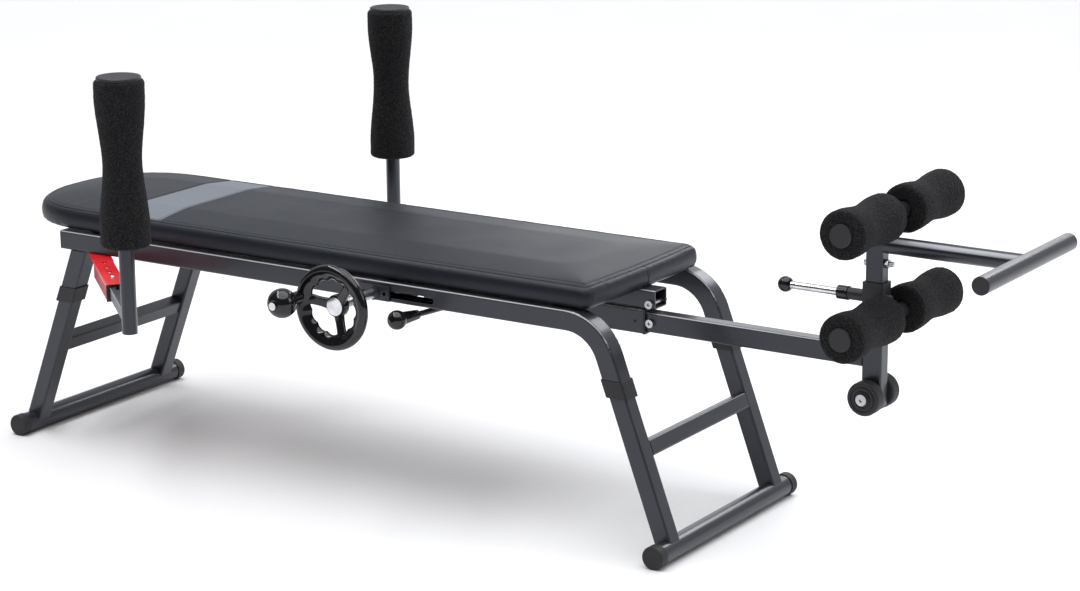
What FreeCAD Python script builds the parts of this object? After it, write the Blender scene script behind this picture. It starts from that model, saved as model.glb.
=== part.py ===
"""Back traction bench: a padded bench on two pairs of legs, with armpit posts at the head end
and an ankle clamp on a sliding beam at the foot end, pulled out by a handwheel and a rack.

Millimetres. While modelling, X runs from the head floor bar (X = 0) towards the feet, Y = 0 is the
frame's middle plane with the handwheel on the -Y side, and Z = 0 is the floor. save() then moves
every piece so that the origin lies on the floor under the centre of the whole bench.
"""
import FreeCAD, Part
import math
import os

os.makedirs("parts", exist_ok=True)
V = FreeCAD.Vector
BIG = 4000.0

# ---- driving dimensions -------------------------------------------------------------------------
# overall layout
FOOT_BAR_X = 1324.0        # foot floor bar, from the head floor bar
BENCH_MIDDLE_X = 900.0     # becomes X = 0 in the saved parts
BENCH_MIDDLE_Y = -22.96    # becomes Y = 0 in the saved parts

# floor bars and their end caps
BAR_R = 17.5
BAR_WALL = 1.5
BAR_HALF = 216.5
CAP_R = 19.0
CAP_LEN = 17.0
CAP_EDGE_R = 2.5           # also the edge of the other large caps
CAP_FLAT = 0.4             # how much of the cap is flat against the floor
BAR_Z = CAP_R - CAP_FLAT
BAR_CAP_END = 220.0

# side rails, bent down at the foot end into the upper legs
RAIL = 33.0                # square tube
RAIL_WALL = 1.3
RAIL_Y = 167.0
RAIL_Z = 365.5
RAIL_HEAD_X = 95.0
PLUG_FLANGE = 2.5          # plug in each rail's head end
PLUG_DEPTH = 14.0
BEND_R = 77.0
TUBE_CORNER_R = 3.5        # outside corner radius of the square tubes
SMALL_CORNER_R = 2.0

# legs: lean is measured from the vertical, positive when the top is nearer the foot end
HEAD_LEAN = math.radians(21.8)
FOOT_LEAN = math.radians(-20.3)
LEG = 30.0
LEG_WALL = 1.5
LEG_TOP = 300.0            # length of a lower leg above the floor bar's axis
UPPER_LEG_START = 258.0    # where the upper tube begins, along the leg
COLLAR_Z = (253.0, 280.0)
COLLAR = 36.6
CROSSBAR = 26.0
CROSSBAR_AT = 159.5        # crossbar centre, along the leg

# spine tube under the pad and the cross members that carry it
SPINE_X = (120.0, 1207.5)
SPINE_HALF_Y = 18.0
SPINE_Z = (354.5, 385.0)
SPINE_WALL = 2.0
CROSS_X = (150.0, 640.0, 1110.0)
CROSS = 25.0
CROSS_WALL = 1.5
PAD_SCREW_Y = 95.0

# pad
PAD_HALF = 180.0
PAD_HEAD_X = 120.0         # where the rounded head end begins
PAD_HEAD_LEN = 164.0
PAD_FOOT_X = 1182.0
PAD_CORNER_R = 24.0
PAD_Z = (385.0, 426.0)
PAD_EDGE_R = 9.0
COVER_T = 1.5
BOARD_INSET = 9.0
BOARD_T = 12.0

# traction drive: pinion on the handwheel shaft, rack on the near rail
SHAFT_X = 777.0
SHAFT_Z = 362.0
SHAFT_R = 5.0
TRAVEL = 100.0             # how far the handwheel pulls the carriage
MODULE = 2.0
TEETH = 16
PRESSURE = math.radians(20)
HALF_TOOTH = 1.42          # half a tooth's thickness on the pitch line, leaving backlash
ADDENDUM = 1.6
DEDENDUM = 2.2
PINION_Y = (-147.5, -137.5)
RACK_TEETH = 22
RACK_BASE_Z = 339.8
SLOT_H = 12.0

# carriage sleeve below the spine
SLEEVE_X = (755.0, 1184.0)
SLEEVE_HALF_Y = 17.5
SLEEVE_Z = (310.5, 351.0)
SLEEVE_WALL = 1.8
SLIDER_X = (705.0, 1088.0)
WEB_X = (720.0, 1075.0)
WEB_HALF = 4.0

# foot beam and ankle clamp
BEAM_X = (525.0, 1572.0)
BEAM_HALF_Y = 13.0
BEAM_Z = (313.6, 346.6)
BEAM_WALL = 1.8
BEAM_TRAVEL = 240.0
POST_X = (1572.0, 1605.0)
POST_MID_X = 1588.5
POST_Z = (252.0, 436.0)
INNER_POST_Z = (320.0, 572.0)
INNER_HALF_X = 14.3
INNER_HALF_Y = 10.8
LOWER_AXLE_Z = 400.3
UPPER_AXLE_Z = 557.0
AXLE_R = 12.5              # both axles are welded across the posts' foot-side faces
ROLLER_R = 38.0
ROLLER_WAIST_R = 33.0
ROLLER_Y = (29.5, 174.5)
ROLLER_CAP_R = 18.0
PIN_Z = 423.0
PIN_BALL_X = 1432.5
PIN_R = 6.3
PIN_COLLAR_Z = (408.0, 448.0)
ANKLE_BOLT_Z = 477.5
HANDLE_Z = 507.0
HANDLE_X = 1830.0
HANDLE_HALF = 157.5
WHEEL_AXLE = (1587.0, 269.6)
WHEEL_R = 27.0
WHEEL_Y = (15.0, 38.0)

# handwheel
HANDWHEEL_Y = -300.0
RIM_R = 61.0
RIM_SECTION_R = 9.0
HUB_Y = (-290.0, -276.0)
CRANK_ANGLE = math.radians(170)
KNOB_Y = -350.0
KNOB_R = 24.0

# release lever
LEVER_PIVOT = (858.0, -40.0)
LEVER_Z = 326.0
LEVER_BALL = (830.5, -198.0)

# armpit posts on arms that slide out of red sleeves
ARM_ANGLE = math.radians(49)          # between an arm and the -Y (or +Y) direction, seen from above
NEAR_POST = (459.4, -423.4)
HOLE_PITCH = 35.0
FAR_HOLES_IN = 2                      # the far arm is set this many holes further in
SLEEVE_FRONT = 150.0                  # along the arm, from the near post's axis
SLEEVE_BACK = 315.0
SLEEVE_TAB_BACK = 388.0
ARM_SLEEVE_W = 35.0
ARM_SLEEVE_Z = (320.0, 349.0)
ARM_W = 25.0
ARM_Z = (324.0, 345.0)
ARM_TAIL = 245.0
BUTTON_AT = 203.0
POST_R = 12.7
POST_TUBE_Z = (303.5, 720.0)
FOAM_Z = (440.0, 721.0)
FOAM_R = 41.0
FOAM_WAIST_R = 33.0
POST_CAP_TOP = 726.0
POST_CAP_R = 36.0


# ---- small tools --------------------------------------------------------------------------------
def box(x, y, z):
    return Part.makeBox(x[1] - x[0], y[1] - y[0], z[1] - z[0], V(x[0], y[0], z[0]))


def rod(start, end, radius):
    start = V(*start)
    run = V(*end) - start
    return Part.makeCylinder(radius, run.Length, start, run)


def rounded_rod(start, end, radius, edge_r):
    """Cylinder with a round edge at its end point."""
    body = rod(start, end, radius)
    rims = [edge for edge in body.Edges if edge.CenterOfMass.distanceToPoint(V(*end)) < 0.01]
    return body.makeFillet(edge_r, rims)


def ring(start, end, outer, inner):
    return rod(start, end, outer).cut(rod(start, end, inner))


def prism(points, y0, y1):
    """Solid between y0 and y1 of a closed outline given as (x, z) points."""
    corners = [V(px, y0, pz) for px, pz in points]
    face = Part.Face(Part.makePolygon(corners + corners[:1]))
    return face.extrude(V(0, y1 - y0, 0))


def flip_y(shape):
    return shape.mirror(V(0, 0, 0), V(0, 1, 0))


def both_sides(shape):
    return [shape, flip_y(shape)]


def joined(shapes):
    whole = shapes[0]
    for other in shapes[1:]:
        whole = whole.fuse(other)
    return whole.removeSplitter()


def soften(shape, along, radius):
    """Round the straight edges that run along a direction, as a drawn tube's corners are."""
    edges = []
    for edge in shape.Edges:
        run = edge.Vertexes[-1].Point - edge.Vertexes[0].Point
        if run.Length > 1 and run.normalize().cross(along).Length < 1e-6:
            edges.append(edge)
    return shape.makeFillet(radius, edges)


def square_tube(outer, core, along, wall):
    """Tube with round corners inside and out, from its outer block and the block that is cut away."""
    return soften(outer, along, TUBE_CORNER_R).cut(soften(core, along, TUBE_CORNER_R - wall))


def save(name, *shapes):
    solids = []
    for shape in shapes:
        solids += shape.Solids
    group = Part.makeCompound(solids) if len(solids) > 1 else solids[0]
    group.translate(V(-BENCH_MIDDLE_X, -BENCH_MIDDLE_Y, 0))
    for solid in solids:
        if not solid.isValid():
            print("invalid solid in", name)
    group.exportStep(f"parts/{name}.step")


# ---- floor bars and legs ------------------------------------------------------------------------
def along_leg(foot_x, lean, s0, s1, n0, n1, y0, y1):
    """Block that leans with a leg: s runs up the leg from the floor bar's axis, n to the foot end."""
    up = (math.sin(lean), math.cos(lean))
    out = (math.cos(lean), -math.sin(lean))
    corners = []
    for s, n in ((s0, n0), (s1, n0), (s1, n1), (s0, n1)):
        corners.append((foot_x + s * up[0] + n * out[0], BAR_Z + s * up[1] + n * out[1]))
    return prism(corners, y0, y1)


def leg_tube(foot_x, lean, s0, s1, size, wall):
    half = size / 2
    core = half - wall
    outer = along_leg(foot_x, lean, s0, s1, -half, half, RAIL_Y - half, RAIL_Y + half)
    inner = along_leg(foot_x, lean, s0 - 5, s1 + 5, -core, core, RAIL_Y - core, RAIL_Y + core)
    return square_tube(outer, inner, V(math.sin(lean), 0, math.cos(lean)), wall)


def floor_bar(x):
    return ring((x, -BAR_HALF, BAR_Z), (x, BAR_HALF, BAR_Z), BAR_R, BAR_R - BAR_WALL)


def floor_bar_cap(x):
    inner_end = BAR_CAP_END - CAP_LEN
    cup = rounded_rod((x, inner_end, BAR_Z), (x, BAR_CAP_END, BAR_Z), CAP_R, CAP_EDGE_R)
    cup = cup.cut(rod((x, inner_end - 1, BAR_Z), (x, BAR_HALF, BAR_Z), BAR_R))
    return cup.common(box((x - 50, x + 50), (0, 300), (0, 60)))


def leg_collar(foot_x, lean):
    """Collar round the end of the upper tube, with level top and bottom faces."""
    half = COLLAR / 2
    outer = along_leg(foot_x, lean, 200, LEG_TOP + 50, -half, half, RAIL_Y - half, RAIL_Y + half)
    outer = soften(outer, V(math.sin(lean), 0, math.cos(lean)), TUBE_CORNER_R)
    outer = outer.common(box((-BIG, BIG), (-BIG, BIG), COLLAR_Z))
    rail = RAIL / 2
    leg = LEG / 2
    seat = along_leg(foot_x, lean, UPPER_LEG_START, BIG / 10, -rail, rail, RAIL_Y - rail, RAIL_Y + rail)
    hole = along_leg(foot_x, lean, 0, BIG / 10, -leg, leg, RAIL_Y - leg, RAIL_Y + leg)
    return outer.cut(seat).cut(hole)


def leg_crossbar(foot_x, lean):
    """Square tube between a pair of legs, flush with their outer faces."""
    end = RAIL_Y - LEG / 2
    s0 = CROSSBAR_AT - CROSSBAR / 2
    s1 = CROSSBAR_AT + CROSSBAR / 2
    outward = math.copysign(1, -lean)
    n0, n1 = sorted((outward * LEG / 2, outward * (LEG / 2 - CROSSBAR)))
    outer = along_leg(foot_x, lean, s0, s1, n0, n1, -end, end)
    inner = along_leg(foot_x, lean, s0 + LEG_WALL, s1 - LEG_WALL, n0 + LEG_WALL, n1 - LEG_WALL,
                      -end - 1, end + 1)
    return square_tube(outer, inner, V(0, 1, 0), LEG_WALL)


LEGS = ((0.0, HEAD_LEAN), (FOOT_BAR_X, FOOT_LEAN))

floor_bars = []
floor_bar_caps = []
lower_legs = []
leg_collars = []
leg_crossbars = []
for foot_x, lean in LEGS:
    bar_hole = rod((foot_x, -BAR_HALF, BAR_Z), (foot_x, BAR_HALF, BAR_Z), BAR_R)
    floor_bars.append(floor_bar(foot_x))
    floor_bar_caps += both_sides(floor_bar_cap(foot_x))
    lower_legs += both_sides(leg_tube(foot_x, lean, 8, LEG_TOP, LEG, LEG_WALL).cut(bar_hole))
    leg_collars += both_sides(leg_collar(foot_x, lean))
    leg_crossbars.append(leg_crossbar(foot_x, lean))
save("floor_bars", *floor_bars)
save("lower_legs", *lower_legs)
save("leg_collars", *leg_collars)
save("leg_crossbars", *leg_crossbars)

rail_underside = RAIL_Z - RAIL / 2
head_stub = leg_tube(0.0, HEAD_LEAN, UPPER_LEG_START, 400, RAIL, RAIL_WALL)
head_stub = head_stub.cut(box((-BIG, BIG), (-BIG, BIG), (rail_underside, BIG)))
save("head_upper_legs", *both_sides(head_stub))


# ---- side rails ---------------------------------------------------------------------------------
def rail_band(half, half_width, overrun):
    """The rail's side outline, half a tube thick on each side of its centre line, as a solid."""
    turn = math.pi / 2 + FOOT_LEAN
    down = (math.sin(-FOOT_LEAN), -math.cos(FOOT_LEAN))
    corner_x = FOOT_BAR_X + (RAIL_Z - BAR_Z) * math.tan(FOOT_LEAN)
    tangent = BEND_R * math.tan(turn / 2)
    centre = (corner_x - tangent, RAIL_Z - BEND_R)
    end_s = UPPER_LEG_START - overrun
    end = (FOOT_BAR_X + end_s * math.sin(FOOT_LEAN), BAR_Z + end_s * math.cos(FOOT_LEAN))
    out = (math.cos(FOOT_LEAN), -math.sin(FOOT_LEAN))

    def side(offset):
        radius = BEND_R + offset
        start_p = V(RAIL_HEAD_X - overrun, 0, RAIL_Z + offset)
        arc_a = V(centre[0], 0, centre[1] + radius)
        arc_m = V(centre[0] + radius * math.sin(turn / 2), 0, centre[1] + radius * math.cos(turn / 2))
        arc_b = V(centre[0] + radius * math.sin(turn), 0, centre[1] + radius * math.cos(turn))
        end_p = V(end[0] + offset * out[0], 0, end[1] + offset * out[1])
        return start_p, arc_a, arc_m, arc_b, end_p

    top = side(half)
    low = side(-half)
    edges = [
        Part.LineSegment(top[0], top[1]).toShape(),
        Part.Arc(top[1], top[2], top[3]).toShape(),
        Part.LineSegment(top[3], top[4]).toShape(),
        Part.LineSegment(top[4], low[4]).toShape(),
        Part.LineSegment(low[4], low[3]).toShape(),
        Part.Arc(low[3], low[2], low[1]).toShape(),
        Part.LineSegment(low[1], low[0]).toShape(),
        Part.LineSegment(low[0], top[0]).toShape(),
    ]
    band = Part.Face(Part.Wire(edges)).extrude(V(0, 2 * half_width, 0))
    band.translate(V(0, RAIL_Y - half_width, 0))
    corner_r = TUBE_CORNER_R - (RAIL / 2 - half)
    long_edges = [edge for edge in band.Edges if edge.BoundBox.YLength < 0.1 and edge.Length > RAIL + 5]
    return band.makeFillet(corner_r, long_edges)


def long_slot(x0, x1, z, height, y0, y1):
    """Slot with round ends, cut along Y."""
    r = height / 2
    middle = box((x0 + r, x1 - r), (y0, y1), (z - r, z + r))
    ends = [rod((x, y0, z), (x, y1, z), r) for x in (x0 + r, x1 - r)]
    return joined([middle] + ends)


rail_core = RAIL / 2 - RAIL_WALL
far_side_rail = rail_band(RAIL / 2, RAIL / 2, 0).cut(rail_band(rail_core, rail_core, 10))
near_side_rail = flip_y(far_side_rail)
shaft_slot = long_slot(SHAFT_X - 7, SHAFT_X + TRAVEL + 16, SHAFT_Z, SLOT_H, -BIG / 10, -100)
near_side_rail = near_side_rail.cut(shaft_slot)
save("near_side_rail", near_side_rail)
save("far_side_rail", far_side_rail)


def rail_end_plug():
    """Plastic plug in a rail's open head end, with a rounded flange outside it."""
    half = RAIL / 2
    flange = box((RAIL_HEAD_X - PLUG_FLANGE, RAIL_HEAD_X), (RAIL_Y - half, RAIL_Y + half),
                 (RAIL_Z - half, RAIL_Z + half))
    flange = soften(flange, V(1, 0, 0), TUBE_CORNER_R)
    body_half = rail_core - 0.2
    body = box((RAIL_HEAD_X, RAIL_HEAD_X + PLUG_DEPTH), (RAIL_Y - body_half, RAIL_Y + body_half),
               (RAIL_Z - body_half, RAIL_Z + body_half))
    return joined([flange, soften(body, V(1, 0, 0), TUBE_CORNER_R - RAIL_WALL)])


save("frame_end_caps", *floor_bar_caps, *both_sides(rail_end_plug()))

# ---- spine, cross members, rack -----------------------------------------------------------------
spine = soften(box(SPINE_X, (-SPINE_HALF_Y, SPINE_HALF_Y), SPINE_Z), V(1, 0, 0), TUBE_CORNER_R)
spine_core_y = SPINE_HALF_Y - SPINE_WALL
spine_core_z = (SPINE_Z[0] + SPINE_WALL, SPINE_Z[1] - SPINE_WALL)
spine = spine.cut(box((0, BIG), (-spine_core_y, spine_core_y), spine_core_z))
web_slot = box((WEB_X[0] - 4, WEB_X[1] + TRAVEL + 6), (-WEB_HALF - 0.6, WEB_HALF + 0.6), (350, 360))
spine = spine.cut(web_slot)
STOP_BOLT = (1198.0, 362.0)
spine = spine.cut(rod((STOP_BOLT[0], -30, STOP_BOLT[1]), (STOP_BOLT[0], 30, STOP_BOLT[1]), 4.1))
save("spine_tube", spine)


def cross_bolt(x, z, half_gap, radius=4.0, tail=8.0):
    """Button-headed bolt along Y with its nut, clamping a tube that is 2 * half_gap wide."""
    head = rod((x, -half_gap - 5.2, z), (x, -half_gap, z), 6.8)
    head = head.cut(rod((x, -half_gap - 5.3, z), (x, -half_gap - 2.6, z), 2.6))
    shank = rod((x, -half_gap, z), (x, half_gap + tail, z), radius)
    nut_points = []
    for corner in range(6):
        angle = math.radians(60 * corner)
        nut_points.append((x + 7.4 * math.cos(angle), z + 7.4 * math.sin(angle)))
    nut = prism(nut_points, half_gap, half_gap + 6.5)
    return joined([head, shank, nut])


spine_stop_bolt = cross_bolt(STOP_BOLT[0], STOP_BOLT[1], SPINE_HALF_Y)

cross_members = []
pad_screws = []
screw_holes = []
rail_inside = RAIL_Y - RAIL / 2
for x in CROSS_X:
    outer = box((x - CROSS / 2, x + CROSS / 2), (SPINE_HALF_Y, rail_inside), (SPINE_Z[1] - CROSS, SPINE_Z[1]))
    core = CROSS / 2 - CROSS_WALL
    inner = box((x - core, x + core), (SPINE_HALF_Y - 1, rail_inside + 1),
                (SPINE_Z[1] - CROSS + CROSS_WALL, SPINE_Z[1] - CROSS_WALL))
    member = outer.cut(inner).cut(rod((x, PAD_SCREW_Y, 340), (x, PAD_SCREW_Y, 400), 3.2))
    cross_members += both_sides(member)
    shank = rod((x, PAD_SCREW_Y, SPINE_Z[1] - CROSS), (x, PAD_SCREW_Y, 394), 3.0)
    head = rod((x, PAD_SCREW_Y, SPINE_Z[1] - CROSS - 4), (x, PAD_SCREW_Y, SPINE_Z[1] - CROSS), 6.0)
    pad_screws += both_sides(joined([shank, head]))
    screw_holes += both_sides(rod((x, PAD_SCREW_Y, 380), (x, PAD_SCREW_Y, 395), 3.0))
save("cross_members", *cross_members)
save("frame_bolts", spine_stop_bolt, *pad_screws)

PITCH_R = MODULE * TEETH / 2
PITCH = math.pi * MODULE
PITCH_LINE_Z = SHAFT_Z - PITCH_R


def rack_outline():
    """Rack teeth pointing up, one of them centred under the shaft."""
    slope = math.tan(PRESSURE)
    first = SHAFT_X - 3 * PITCH
    root_z = PITCH_LINE_Z - DEDENDUM
    tip_z = PITCH_LINE_Z + ADDENDUM
    points = [(first - PITCH / 2, RACK_BASE_Z), (first - PITCH / 2, root_z)]
    for tooth in range(RACK_TEETH):
        middle = first + tooth * PITCH
        wide = HALF_TOOTH + DEDENDUM * slope
        narrow = HALF_TOOTH - ADDENDUM * slope
        points += [(middle - wide, root_z), (middle - narrow, tip_z)]
        points += [(middle + narrow, tip_z), (middle + wide, root_z)]
    end = first + (RACK_TEETH - 0.5) * PITCH
    points += [(end, root_z), (end, RACK_BASE_Z)]
    return points


rack_bar = prism(rack_outline(), PINION_Y[0] - 0.5, PINION_Y[1] + 0.5)
rack_ends = (SHAFT_X - 3.5 * PITCH, SHAFT_X + (RACK_TEETH - 3.5) * PITCH)
rack_back = box(rack_ends, (-rail_inside, PINION_Y[0] - 0.5), (RACK_BASE_Z, 355.0))
save("drive_rack", joined([rack_bar, rack_back]))


# ---- pad ----------------------------------------------------------------------------------------
def pad_outline(inset, z):
    """Plan of the pad: straight sides, half an ellipse at the head, round corners at the foot."""
    half = PAD_HALF - inset
    reach = PAD_HEAD_LEN - inset
    foot = PAD_FOOT_X - inset
    corner = PAD_CORNER_R - inset / 2
    ellipse = Part.Ellipse(V(PAD_HEAD_X, half, z), V(PAD_HEAD_X - reach, 0, z), V(PAD_HEAD_X, 0, z))
    head = Part.ArcOfEllipse(ellipse, 0, math.pi).toShape()
    near = V(PAD_HEAD_X, -half, z)
    far = V(PAD_HEAD_X, half, z)
    diagonal = corner * (1 - math.sqrt(0.5))
    edges = [
        head,
        Part.LineSegment(near, V(foot - corner, -half, z)).toShape(),
        Part.Arc(V(foot - corner, -half, z), V(foot - diagonal, -half + diagonal, z),
                 V(foot, -half + corner, z)).toShape(),
        Part.LineSegment(V(foot, -half + corner, z), V(foot, half - corner, z)).toShape(),
        Part.Arc(V(foot, half - corner, z), V(foot - diagonal, half - diagonal, z),
                 V(foot - corner, half, z)).toShape(),
        Part.LineSegment(V(foot - corner, half, z), far).toShape(),
    ]
    return Part.Face(Part.Wire(Part.__sortEdges__(edges)))


board = pad_outline(BOARD_INSET, PAD_Z[0]).extrude(V(0, 0, BOARD_T))
for hole in screw_holes:
    board = board.cut(hole)
save("pad_board", board)

def cushion_block(inset):
    """The padding's outer form, drawn in by inset at the sides and on top."""
    block = pad_outline(inset, PAD_Z[0]).extrude(V(0, 0, PAD_Z[1] - PAD_Z[0] - inset))
    top_edges = [edge for edge in block.Edges if edge.BoundBox.ZMin > PAD_Z[1] - inset - 0.1]
    return block.makeFillet(PAD_EDGE_R - inset, top_edges)


board_recess = pad_outline(BOARD_INSET - 0.3, PAD_Z[0] - 1).extrude(V(0, 0, BOARD_T + 1.3))
save("pad_foam", cushion_block(COVER_T + 0.1).cut(board_recess))
below_pad = box((-BIG, BIG), (-BIG, BIG), (0, PAD_Z[0]))
save("pad_cover", cushion_block(0).cut(cushion_block(COVER_T).fuse(below_pad)))

# ---- traction carriage --------------------------------------------------------------------------
sleeve = soften(box(SLEEVE_X, (-SLEEVE_HALF_Y, SLEEVE_HALF_Y), SLEEVE_Z), V(1, 0, 0), TUBE_CORNER_R)
sleeve_core_y = SLEEVE_HALF_Y - SLEEVE_WALL
sleeve_core_z = (SLEEVE_Z[0] + SLEEVE_WALL, SLEEVE_Z[1] - SLEEVE_WALL)
sleeve = sleeve.cut(box((0, BIG), (-sleeve_core_y, sleeve_core_y), sleeve_core_z))
finger_window = box((874, 902), (-30, -10), (LEVER_Z - 6, LEVER_Z + 6))
sleeve = sleeve.cut(finger_window).cut(rod((1170, -30, 331), (1170, 0, 331), 2.5))
save("carriage_sleeve", sleeve)

slider = box(SLIDER_X, (-spine_core_y + 0.4, spine_core_y - 0.4),
             (SPINE_Z[0] + SPINE_WALL + 0.4, SPINE_Z[1] - SPINE_WALL - 0.4))
slider = slider.cut(box((0, BIG), (-13, 13), (SPINE_Z[0] + 5, SPINE_Z[1] - 5)))
web = box(WEB_X, (-WEB_HALF, WEB_HALF), (SLEEVE_Z[1], SPINE_Z[0] + 4.5))
save("carriage_slider", joined([slider, web]))

bush_hole = box((0, BIG), (-BEAM_HALF_Y - 0.4, BEAM_HALF_Y + 0.4), (BEAM_Z[0] - 0.4, BEAM_Z[1] + 0.4))
bush_body = box((SLEEVE_X[1] - 34, SLEEVE_X[1]), (-sleeve_core_y, sleeve_core_y), sleeve_core_z)
bush_flange = box((SLEEVE_X[1], SLEEVE_X[1] + 4.5), (-SLEEVE_HALF_Y, SLEEVE_HALF_Y), SLEEVE_Z)
rear_bush = box((SLEEVE_X[0], SLEEVE_X[0] + 30), (-sleeve_core_y, sleeve_core_y), sleeve_core_z)
BRACKET_WALLS = ((-134.0, -130.0), (-60.0, -56.0))
shaft_bushes = []
for y0, y1 in BRACKET_WALLS:
    shaft_bushes.append(ring((SHAFT_X, y0, SHAFT_Z), (SHAFT_X, y1, SHAFT_Z), 7.0, SHAFT_R + 0.06))
front_bush = joined([bush_body, bush_flange])
save("carriage_bushes", front_bush.cut(bush_hole), rear_bush.cut(bush_hole), *shaft_bushes)

bracket = [box((SHAFT_X - 14, SHAFT_X + 14), (-134, -SLEEVE_HALF_Y), (335.5, 339.0))]
for wall in BRACKET_WALLS:
    plate = box((SHAFT_X - 14, SHAFT_X + 14), wall, (339.0, 374.0))
    bracket.append(plate.cut(rod((SHAFT_X, wall[0] - 1, SHAFT_Z), (SHAFT_X, wall[1] + 1, SHAFT_Z), 7.0)))
shaft_bracket = joined(bracket)

plate_y = (-RAIL_Y - RAIL / 2 - 4.0, -RAIL_Y - RAIL / 2 - 0.5)
slot_plate = box((SHAFT_X - 30.5, SHAFT_X + 30.5), plate_y, (350.5, 376.0))
boss = rod((SHAFT_X, plate_y[0] - 2.5, SHAFT_Z), (SHAFT_X, plate_y[0], SHAFT_Z), 11.5)
slot_plate = joined([slot_plate, boss])
for x in (SHAFT_X - 20.5, SHAFT_X + 20.5):
    slot_plate = slot_plate.cut(rod((x, plate_y[0] - 1, SHAFT_Z), (x, plate_y[1] + 1, SHAFT_Z), 3.2))
slot_plate = slot_plate.cut(rod((SHAFT_X, -200, SHAFT_Z), (SHAFT_X, -150, SHAFT_Z), SHAFT_R + 0.08))
save("slot_plate", slot_plate)

px, py = LEVER_PIVOT
lever_bracket = box((px - 9, px + 9), (py - 9, -SLEEVE_HALF_Y), (LEVER_Z - 8, LEVER_Z - 5))
pivot_bolt = joined([
    rod((px, py, LEVER_Z - 12), (px, py, LEVER_Z + 6), 3.0),
    rod((px, py, LEVER_Z - 12), (px, py, LEVER_Z - 8), 5.5),
    rod((px, py, LEVER_Z + 5.4), (px, py, LEVER_Z + 8.5), 5.5),
])
lever_bracket = lever_bracket.cut(rod((px, py, 300), (px, py, 340), 3.0))
save("carriage_brackets", shaft_bracket, lever_bracket)
save("lever_pivot_bolt", pivot_bolt)


# ---- handwheel ----------------------------------------------------------------------------------
def pinion_outline():
    """Involute teeth, with a tooth space pointing straight down at the rack tooth below."""
    base_r = PITCH_R * math.cos(PRESSURE)
    tip_r = PITCH_R + ADDENDUM
    root_r = PITCH_R - DEDENDUM
    inv_pitch = math.tan(PRESSURE) - PRESSURE

    def half_angle(radius):
        if radius <= base_r:
            return HALF_TOOTH / PITCH_R + inv_pitch
        alpha = math.acos(base_r / radius)
        return HALF_TOOTH / PITCH_R + inv_pitch - (math.tan(alpha) - alpha)

    flank = [root_r, base_r, (base_r + PITCH_R) / 2, PITCH_R, (PITCH_R + tip_r) / 2, tip_r]
    points = []
    for tooth in range(TEETH):
        middle = -math.pi / 2 + (tooth + 0.5) * 2 * math.pi / TEETH
        rising = [(r, middle - half_angle(r)) for r in flank]
        falling = [(r, middle + half_angle(r)) for r in reversed(flank)]
        for r, angle in rising + falling:
            points.append((SHAFT_X + r * math.cos(angle), SHAFT_Z + r * math.sin(angle)))
    return points


def on_shaft(y0, y1, radius):
    return rod((SHAFT_X, y0, SHAFT_Z), (SHAFT_X, y1, SHAFT_Z), radius)


pinion = prism(pinion_outline(), PINION_Y[0], PINION_Y[1]).cut(on_shaft(-160, -120, SHAFT_R))
save("drive_pinion", pinion)
save("handwheel_shaft", joined([on_shaft(HUB_Y[0], -52, SHAFT_R), on_shaft(HUB_Y[1], plate_y[0] - 2.8, 8.5)]))

rim = Part.makeTorus(RIM_R, RIM_SECTION_R, V(SHAFT_X, HANDWHEEL_Y, SHAFT_Z), V(0, 1, 0))
wheel = [on_shaft(HUB_Y[0], HUB_Y[1], 18.0), rim]
for spoke in range(3):
    angle = CRANK_ANGLE + spoke * 2 * math.pi / 3
    reach = V(math.cos(angle), 0, math.sin(angle))
    inner_end = V(SHAFT_X, HUB_Y[1] - 6, SHAFT_Z) + reach * 10
    outer_end = V(SHAFT_X, HANDWHEEL_Y + 3, SHAFT_Z) + reach * (RIM_R - 3)
    wheel.append(rod(tuple(inner_end), tuple(outer_end), 5.5))
wheel = joined(wheel).cut(on_shaft(-310, -270, SHAFT_R))
crank_x = SHAFT_X + RIM_R * math.cos(CRANK_ANGLE)
crank_z = SHAFT_Z + RIM_R * math.sin(CRANK_ANGLE)


def on_crank(y0, y1, radius):
    return rod((crank_x, y0, crank_z), (crank_x, y1, crank_z), radius)


wheel = wheel.cut(on_crank(-320, -280, 4.0))
save("handwheel", wheel)
hub_cap = on_shaft(HUB_Y[0] - 3, HUB_Y[0], 15.0)
knob_flat = KNOB_Y - KNOB_R + 2
crank_spindle = joined([on_crank(knob_flat - 1, -290, 4.0), on_crank(knob_flat - 4, knob_flat - 0.4, 6.5)])
save("handwheel_fasteners", hub_cap, crank_spindle)

knob = Part.makeSphere(KNOB_R, V(crank_x, KNOB_Y, crank_z))
neck_y = HANDWHEEL_Y - RIM_SECTION_R - 0.6
neck = Part.makeCone(11.0, 9.0, neck_y - KNOB_Y, V(crank_x, neck_y, crank_z), V(0, -1, 0))
knob = joined([knob, neck])
knob = knob.cut(box((600, 900), (knob_flat - 20, knob_flat), (200, 500)))
save("crank_knob", knob.cut(on_crank(-400, -280, 4.08)))

# ---- release lever ------------------------------------------------------------------------------
bx, by = LEVER_BALL
toward = V(bx - px, by - py, 0)
toward.normalize()
pivot = V(px, py, LEVER_Z)
ball_at = V(bx, by, LEVER_Z)
lever_hub = rod((px, py, LEVER_Z - 4.6), (px, py, LEVER_Z + 5.0), 9.0)
lever_rod = rod(tuple(pivot), tuple(ball_at - toward * 8), 4.75)
finger_link = prism([(px, LEVER_Z - 4), (888, LEVER_Z - 4), (888, LEVER_Z + 4), (px, LEVER_Z + 4)], -40, -31)
finger = box((880, 888), (-36, -10.3), (LEVER_Z - 4, LEVER_Z + 4))
lever_arm = joined([lever_hub, lever_rod, finger_link, finger])
save("lever_arm", lever_arm.cut(rod((px, py, 300), (px, py, 350), 3.07)))

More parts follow.
